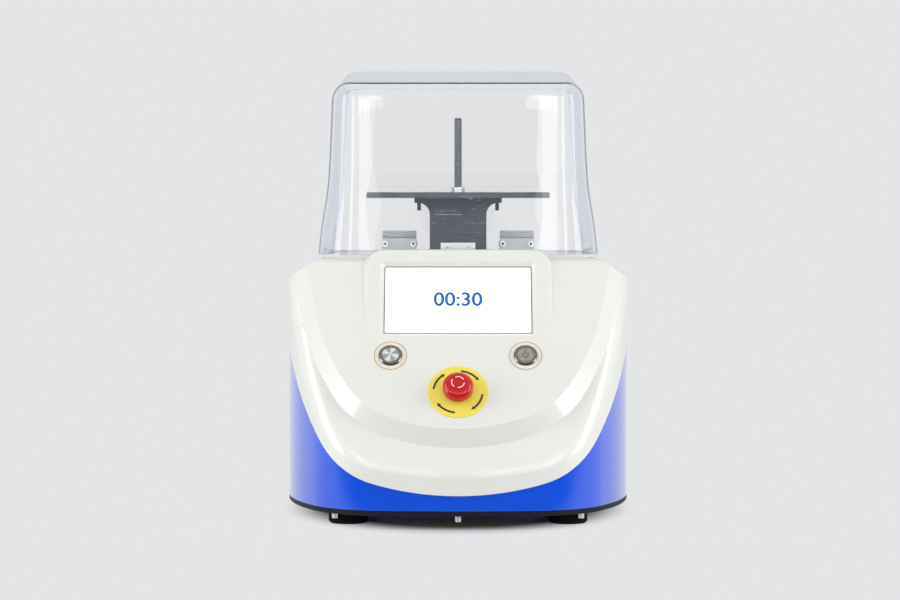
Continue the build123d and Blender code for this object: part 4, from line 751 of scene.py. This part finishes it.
def makeRingOutlines():
    steps = GrowTree("ringOutlineTree", {"Radius": ringOutline["radius"], "Width": ringOutline["width"],
                                         "Height": ringOutline["height"]})
    circle = steps.add("CurvePrimitiveCircle", {"Resolution": 120, "Radius": steps.given["Radius"]})["Curve"]
    band = steps.add("CurvePrimitiveQuadrilateral", {"Width": steps.given["Width"],
                                                     "Height": steps.given["Height"]})["Curve"]
    ring = steps.add("CurveToMesh", {"Curve": circle, "Profile Curve": band, "Fill Caps": True})["Mesh"]
    rings = steps.add("InstanceOnPoints", {"Points": steps.given["Places"], "Instance": ring})["Instances"]
    steps.finish(rings, outlineInk)
    half = buttonSpacing / 2
    grow("ringOutlines", steps, "housing", [(-half, 0, 0), (half, 0, 0)],
         faceMatrix(panelFace, 0, buttonUp, ringOutline["lift"]))


makeRingOutlines()

# Thread on the clamp stud, above its nut. The ridge is real shape, and its lighter colour against the dark
# stud is a painted highlight on the thread crests
threadSettings = {"pitch": 0.00125, "radius": 0.00392, "ridge": 0.00052, "nutGap": 0.0012, "endGap": 0.0012}


def makeStudThread():
    low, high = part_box("clamp_stud")
    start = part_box("stud_nut")[1].z + threadSettings["nutGap"]
    height = high.z - threadSettings["endGap"] - start
    steps = GrowTree("studThreadTree", {"Turns": height / threadSettings["pitch"], "Height": height,
                                        "Radius": threadSettings["radius"], "Ridge": threadSettings["ridge"]})
    radius = steps.given["Radius"]
    helix = steps.add("CurveSpiral", {"Resolution": 26, "Rotations": steps.given["Turns"],
                                      "Start Radius": radius, "End Radius": radius,
                                      "Height": steps.given["Height"]})["Curve"]
    profile = steps.add("CurvePrimitiveCircle", {"Resolution": 4, "Radius": steps.given["Ridge"]})["Curve"]
    ridge = steps.add("CurveToMesh", {"Curve": helix, "Profile Curve": profile, "Fill Caps": True})["Mesh"]
    thread = steps.add("InstanceOnPoints", {"Points": steps.given["Places"], "Instance": ridge})["Instances"]
    # the ridge takes the lighter zinc finish over the dark stud: a painted highlight
    steps.finish(thread, finishes["zinc_plate"])
    middle = (low + high) / 2
    grow("studThread", steps, "shaker",
         place=Matrix.Translation((middle.x, middle.y, start)))


makeStudThread()

# Grip teeth along the front and rear edges of the platform
gripSettings = {"pitch": 0.0026, "tooth": (0.0013, 0.003, 0.0009), "edgeGap": 0.0022}


def makeGripTeeth():
    low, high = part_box("platform")
    length = high.x - low.x - 2 * gripSettings["edgeGap"]
    depth = high.y - low.y - 2 * gripSettings["edgeGap"]
    count = int(length / gripSettings["pitch"]) + 1
    steps = GrowTree("gripTeethTree", {"Length": length, "Depth": depth, "Count": count,
                                       "Tooth": gripSettings["tooth"]})
    grid = steps.add("MeshGrid", {"Size X": steps.given["Length"], "Size Y": steps.given["Depth"],
                                  "Vertices X": steps.given["Count"], "Vertices Y": 2})["Mesh"]
    tooth = steps.add("MeshCube", {"Size": steps.given["Tooth"]})["Mesh"]
    teeth = steps.add("InstanceOnPoints", {"Points": grid, "Instance": tooth})["Instances"]
    steps.finish(teeth, finishes["anodised_dark"])
    lift = high.z + gripSettings["tooth"][2] / 3
    grow("gripTeeth", steps, "shaker",
         place=Matrix.Translation(((low.x + high.x) / 2, (low.y + high.y) / 2, lift)))


makeGripTeeth()

# Dark hexagon sockets in the heads of the clamp screws
socketSettings = {"flats": 0.0026, "depth": 0.00012, "clampSpacing": 0.138, "clampPitch": 0.033,
                  "standOff": 0.0022}


def makeSockets(name, places, turn, body):
    steps = GrowTree(name + "Tree", {"Radius": socketSettings["flats"] / 2 / cos(pi / 6),
                                     "Depth": socketSettings["depth"]})
    disc = steps.add("MeshCylinder", {"Vertices": 6, "Radius": steps.given["Radius"],
                                      "Depth": steps.given["Depth"]})["Mesh"]
    discs = steps.add("InstanceOnPoints", {"Points": steps.given["Places"], "Instance": disc,
                                           "Rotation": turn})["Instances"]
    steps.finish(discs, darkInk)
    grow(name, steps, body, places)


def makeClampSockets():
    low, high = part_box("lid_clamp_plates")
    level = (low.z + high.z) / 2
    face = low.y - socketSettings["standOff"]
    places = []
    for side in (-1, 1):
        for end in (-1, 1):
            across = side * socketSettings["clampSpacing"] / 2 + end * socketSettings["clampPitch"] / 2
            places.append((across, face, level))
    makeSockets("clampSockets", places, (pi / 2, 0, 0), "lid")


makeClampSockets()

# Timer numerals on the screen
numeralSettings = {"text": "00:30", "height": 0.0235, "up": 0.0535, "depth": 0.0001, "sink": 0.0043,
                   "weight": 0.0004}


def makeTimerNumerals():
    letters = bpy.data.curves.new("timerNumerals", "FONT")
    letters.body = numeralSettings["text"]
    letters.align_x = "CENTER"
    letters.align_y = "CENTER"
    letters.size = numeralSettings["height"]
    letters.extrude = numeralSettings["depth"] / 2
    letters.offset = numeralSettings["weight"]
    holder = bpy.data.objects.new("timerNumeralsHolder", letters)
    scene.collection.objects.link(holder)
    bpy.context.view_layer.update()
    mesh = bpy.data.meshes.new_from_object(holder.evaluated_get(bpy.context.evaluated_depsgraph_get()))
    bpy.data.objects.remove(holder)
    mesh.materials.clear()
    mesh.materials.append(numeralInk)
    settle("timerNumerals", mesh, "housing",
           faceMatrix(screenFace, 0, numeralSettings["up"], -numeralSettings["sink"]))


makeTimerNumerals()


# Flat marks: bands along an arc, with an arrow head where one is asked for
headLength = 1.8


def bandMesh(name, bands, thickness, material):
    shaped = bmesh.new()
    for band in bands:
        outline = []
        sweep = band["to"] - band["from"]
        turns = [band["from"] + sweep * step / band["steps"] for step in range(band["steps"] + 1)]
        for turn in turns:
            outline.append((band["radius"] + band["width"] / 2, turn))
        if band.get("head"):
            ahead = 1 if band["to"] > band["from"] else -1
            outline.append((band["radius"] + band["head"], turns[-1]))
            outline.append((band["radius"], turns[-1] + ahead * headLength * band["head"] / band["radius"]))
            outline.append((band["radius"] - band["head"], turns[-1]))
        for turn in reversed(turns):
            outline.append((band["radius"] - band["width"] / 2, turn))
        corners = [shaped.verts.new((radius * cos(turn), radius * sin(turn), 0)) for radius, turn in outline]
        face = shaped.faces.new(corners)
        raised = bmesh.ops.extrude_face_region(shaped, geom=[face])
        lifted = [part for part in raised["geom"] if isinstance(part, bmesh.types.BMVert)]
        bmesh.ops.translate(shaped, verts=lifted, vec=(0, 0, thickness))
    bmesh.ops.triangulate(shaped, faces=shaped.faces)
    mesh = bpy.data.meshes.new(name)
    shaped.to_mesh(mesh)
    shaped.free()
    mesh.materials.append(material)
    return mesh


# Release arrows on the red head, and plain arrows round the yellow plate
stopMarks = {"up": 0.044128, "thickness": 0.0001, "steps": 16}
plateArrows = {"starts": (35, 125, 215, 305), "from": 48, "to": 6, "lift": 0.0012, "radius": 0.0255,
               "width": 0.0022}
headArrows = {"starts": (40, 160, 280), "from": 74, "to": 0, "lift": 0.02002, "radius": 0.0066,
              "width": 0.0009}


def clockwiseArrows(arrows):
    # the same arrow from every start, its head as wide to each side as its band is
    return [{"from": radians(start + arrows["from"]), "to": radians(start + arrows["to"]),
             "steps": stopMarks["steps"], "radius": arrows["radius"], "width": arrows["width"],
             "head": arrows["width"]} for start in arrows["starts"]]


def makeStopMarks():
    plate = bandMesh("plateArcs", clockwiseArrows(plateArrows), stopMarks["thickness"], darkInk)
    settle("plateArcs", plate, "housing",
           faceMatrix(panelFace, 0, stopMarks["up"], plateArrows["lift"]))
    head = bandMesh("headArrows", clockwiseArrows(headArrows), stopMarks["thickness"], lightInk)
    settle("headArrows", head, bodyOf["estop_head"],
           faceMatrix(panelFace, 0, stopMarks["up"], headArrows["lift"]))


makeStopMarks()

# Power mark on the right cap
powerMark = {"lift": 0.00271, "radius": 0.0028, "width": 0.0007, "thickness": 0.0001,
             "bar": 0.0034, "barUp": 0.75, "from": 125, "to": 415, "steps": 40}


def makePowerMark():
    width = powerMark["width"]
    ring = {"from": radians(powerMark["from"]), "to": radians(powerMark["to"]), "steps": powerMark["steps"],
            "radius": powerMark["radius"], "width": width}
    mesh = bandMesh("powerMark", [ring], powerMark["thickness"], darkInk)
    shaped = bmesh.new()
    shaped.from_mesh(mesh)
    made = bmesh.ops.create_cube(shaped, size=1)
    bar = Matrix.Translation((0, powerMark["radius"] * powerMark["barUp"], powerMark["thickness"] / 2))
    size = Matrix.Diagonal((width, powerMark["bar"], powerMark["thickness"], 1))
    bmesh.ops.transform(shaped, verts=made["verts"], matrix=bar @ size)
    shaped.to_mesh(mesh)
    shaped.free()
    settle("powerMark", mesh, bodyOf["power_cap"],
           faceMatrix(panelFace, buttonSpacing / 2, buttonUp, powerMark["lift"]))


makePowerMark()

# Pan head screws round the rear panel, with cross recesses
panelScrewSettings = {"across": 0.107, "up": 0.037, "middle": 0.093, "head": 0.0032, "height": 0.0018,
                      "slot": 0.0034, "slotWidth": 0.0006, "slotDepth": 0.0002, "taper": 0.62}


def makePanelScrews():
    steps = GrowTree("panelScrewTree", {
        "Head": panelScrewSettings["head"], "Height": panelScrewSettings["height"],
        "Slot": (panelScrewSettings["slot"], panelScrewSettings["slotWidth"],
                 panelScrewSettings["slotDepth"]),
        "Cross Slot": (panelScrewSettings["slotWidth"], panelScrewSettings["slot"],
                       panelScrewSettings["slotDepth"]),
        "Lift": (0.0, 0.0, panelScrewSettings["height"])})
    head = steps.add("MeshCone", {"Vertices": 24, "Radius Bottom": steps.given["Head"],
                                  "Radius Top": panelScrewSettings["head"] * panelScrewSettings["taper"],
                                  "Depth": steps.given["Height"]})["Mesh"]
    bars = steps.add("JoinGeometry")
    join = bars["Geometry"].node
    for size in ("Slot", "Cross Slot"):
        link(steps.tree, steps.add("MeshCube", {"Size": steps.given[size]})["Mesh"], join.inputs["Geometry"])
    lifted = steps.add("Transform", {"Geometry": bars["Geometry"],
                                     "Translation": steps.given["Lift"]})["Geometry"]
    whole = steps.add("JoinGeometry")
    join = whole["Geometry"].node
    link(steps.tree, steps.painted(head, finishes["bright_screw"]), join.inputs["Geometry"])
    link(steps.tree, steps.painted(lifted, darkInk), join.inputs["Geometry"])
    screws = steps.add("InstanceOnPoints", {"Points": steps.given["Places"], "Instance": whole["Geometry"],
                                            "Rotation": (-pi / 2, 0, 0)})["Instances"]
    steps.finish(screws)
    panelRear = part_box("rear_panel")[1].y
    places = []
    for across in (-1, 0, 1):
        for up in (-1, 1):
            places.append((across * panelScrewSettings["across"], panelRear,
                           panelScrewSettings["middle"] + up * panelScrewSettings["up"]))
    grow("panelScrews", steps, "housing", places)


makePanelScrews()

# Wire guard over the fan: rings that repeat outwards, and four spokes
guardSettings = {"across": 0.075, "up": 0.093, "wire": 0.0009, "firstRing": 0.007, "ringPitch": 0.0056,
                 "rings": 4, "spokeLength": 0.056, "spokeDrop": 1.6, "stand": 0.0013}


def makeFanGuard():
    steps = GrowTree("fanGuardTree", {
        "Rings": guardSettings["rings"], "First": guardSettings["firstRing"],
        "Pitch": guardSettings["ringPitch"], "Wire": guardSettings["wire"],
        "Spoke": guardSettings["spokeLength"]})
    line = steps.add("MeshLine", {"Count": steps.given["Rings"], "Offset": (0, 0, 0)}, mode="OFFSET")["Mesh"]
    index = steps.tree.nodes.new("GeometryNodeInputIndex").outputs[0]
    radius = addMath(steps.tree, "ADD", addMath(steps.tree, "MULTIPLY", index, steps.given["Pitch"]),
                     steps.given["First"])
    unit = steps.add("CurvePrimitiveCircle", {"Resolution": 72, "Radius": 1.0})["Curve"]
    scaled = steps.add("InstanceOnPoints", {"Points": line, "Instance": unit, "Scale": radius})["Instances"]
    circles = steps.add("RealizeInstances", {"Geometry": scaled})["Geometry"]
    wire = steps.add("CurvePrimitiveCircle", {"Resolution": 10, "Radius": steps.given["Wire"]})["Curve"]
    rings = steps.add("CurveToMesh", {"Curve": circles, "Profile Curve": wire})["Mesh"]
    spoke = steps.add("MeshCylinder", {"Vertices": 10, "Radius": steps.given["Wire"],
                                       "Depth": steps.given["Spoke"]})["Mesh"]
    joined = steps.add("JoinGeometry")
    join = joined["Geometry"].node
    link(steps.tree, rings, join.inputs["Geometry"])
    spokeLevel = -guardSettings["spokeDrop"] * guardSettings["wire"]
    for turn in (pi / 4, -pi / 4):
        laid = steps.add("Transform", {"Geometry": spoke, "Rotation": (pi / 2, 0, turn),
                                       "Translation": (0, 0, spokeLevel)})["Geometry"]
        link(steps.tree, laid, join.inputs["Geometry"])
    steps.finish(joined["Geometry"], finishes["bright_screw"])
    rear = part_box("rear_panel")[1].y + guardSettings["stand"] + guardSettings["wire"]
    place = Matrix.Translation((guardSettings["across"], rear, guardSettings["up"]))
    grow("fanGuard", steps, "housing", place=place @ Matrix.Rotation(-pi / 2, 4, "X"))


makeFanGuard()
print("stage 5: details added")
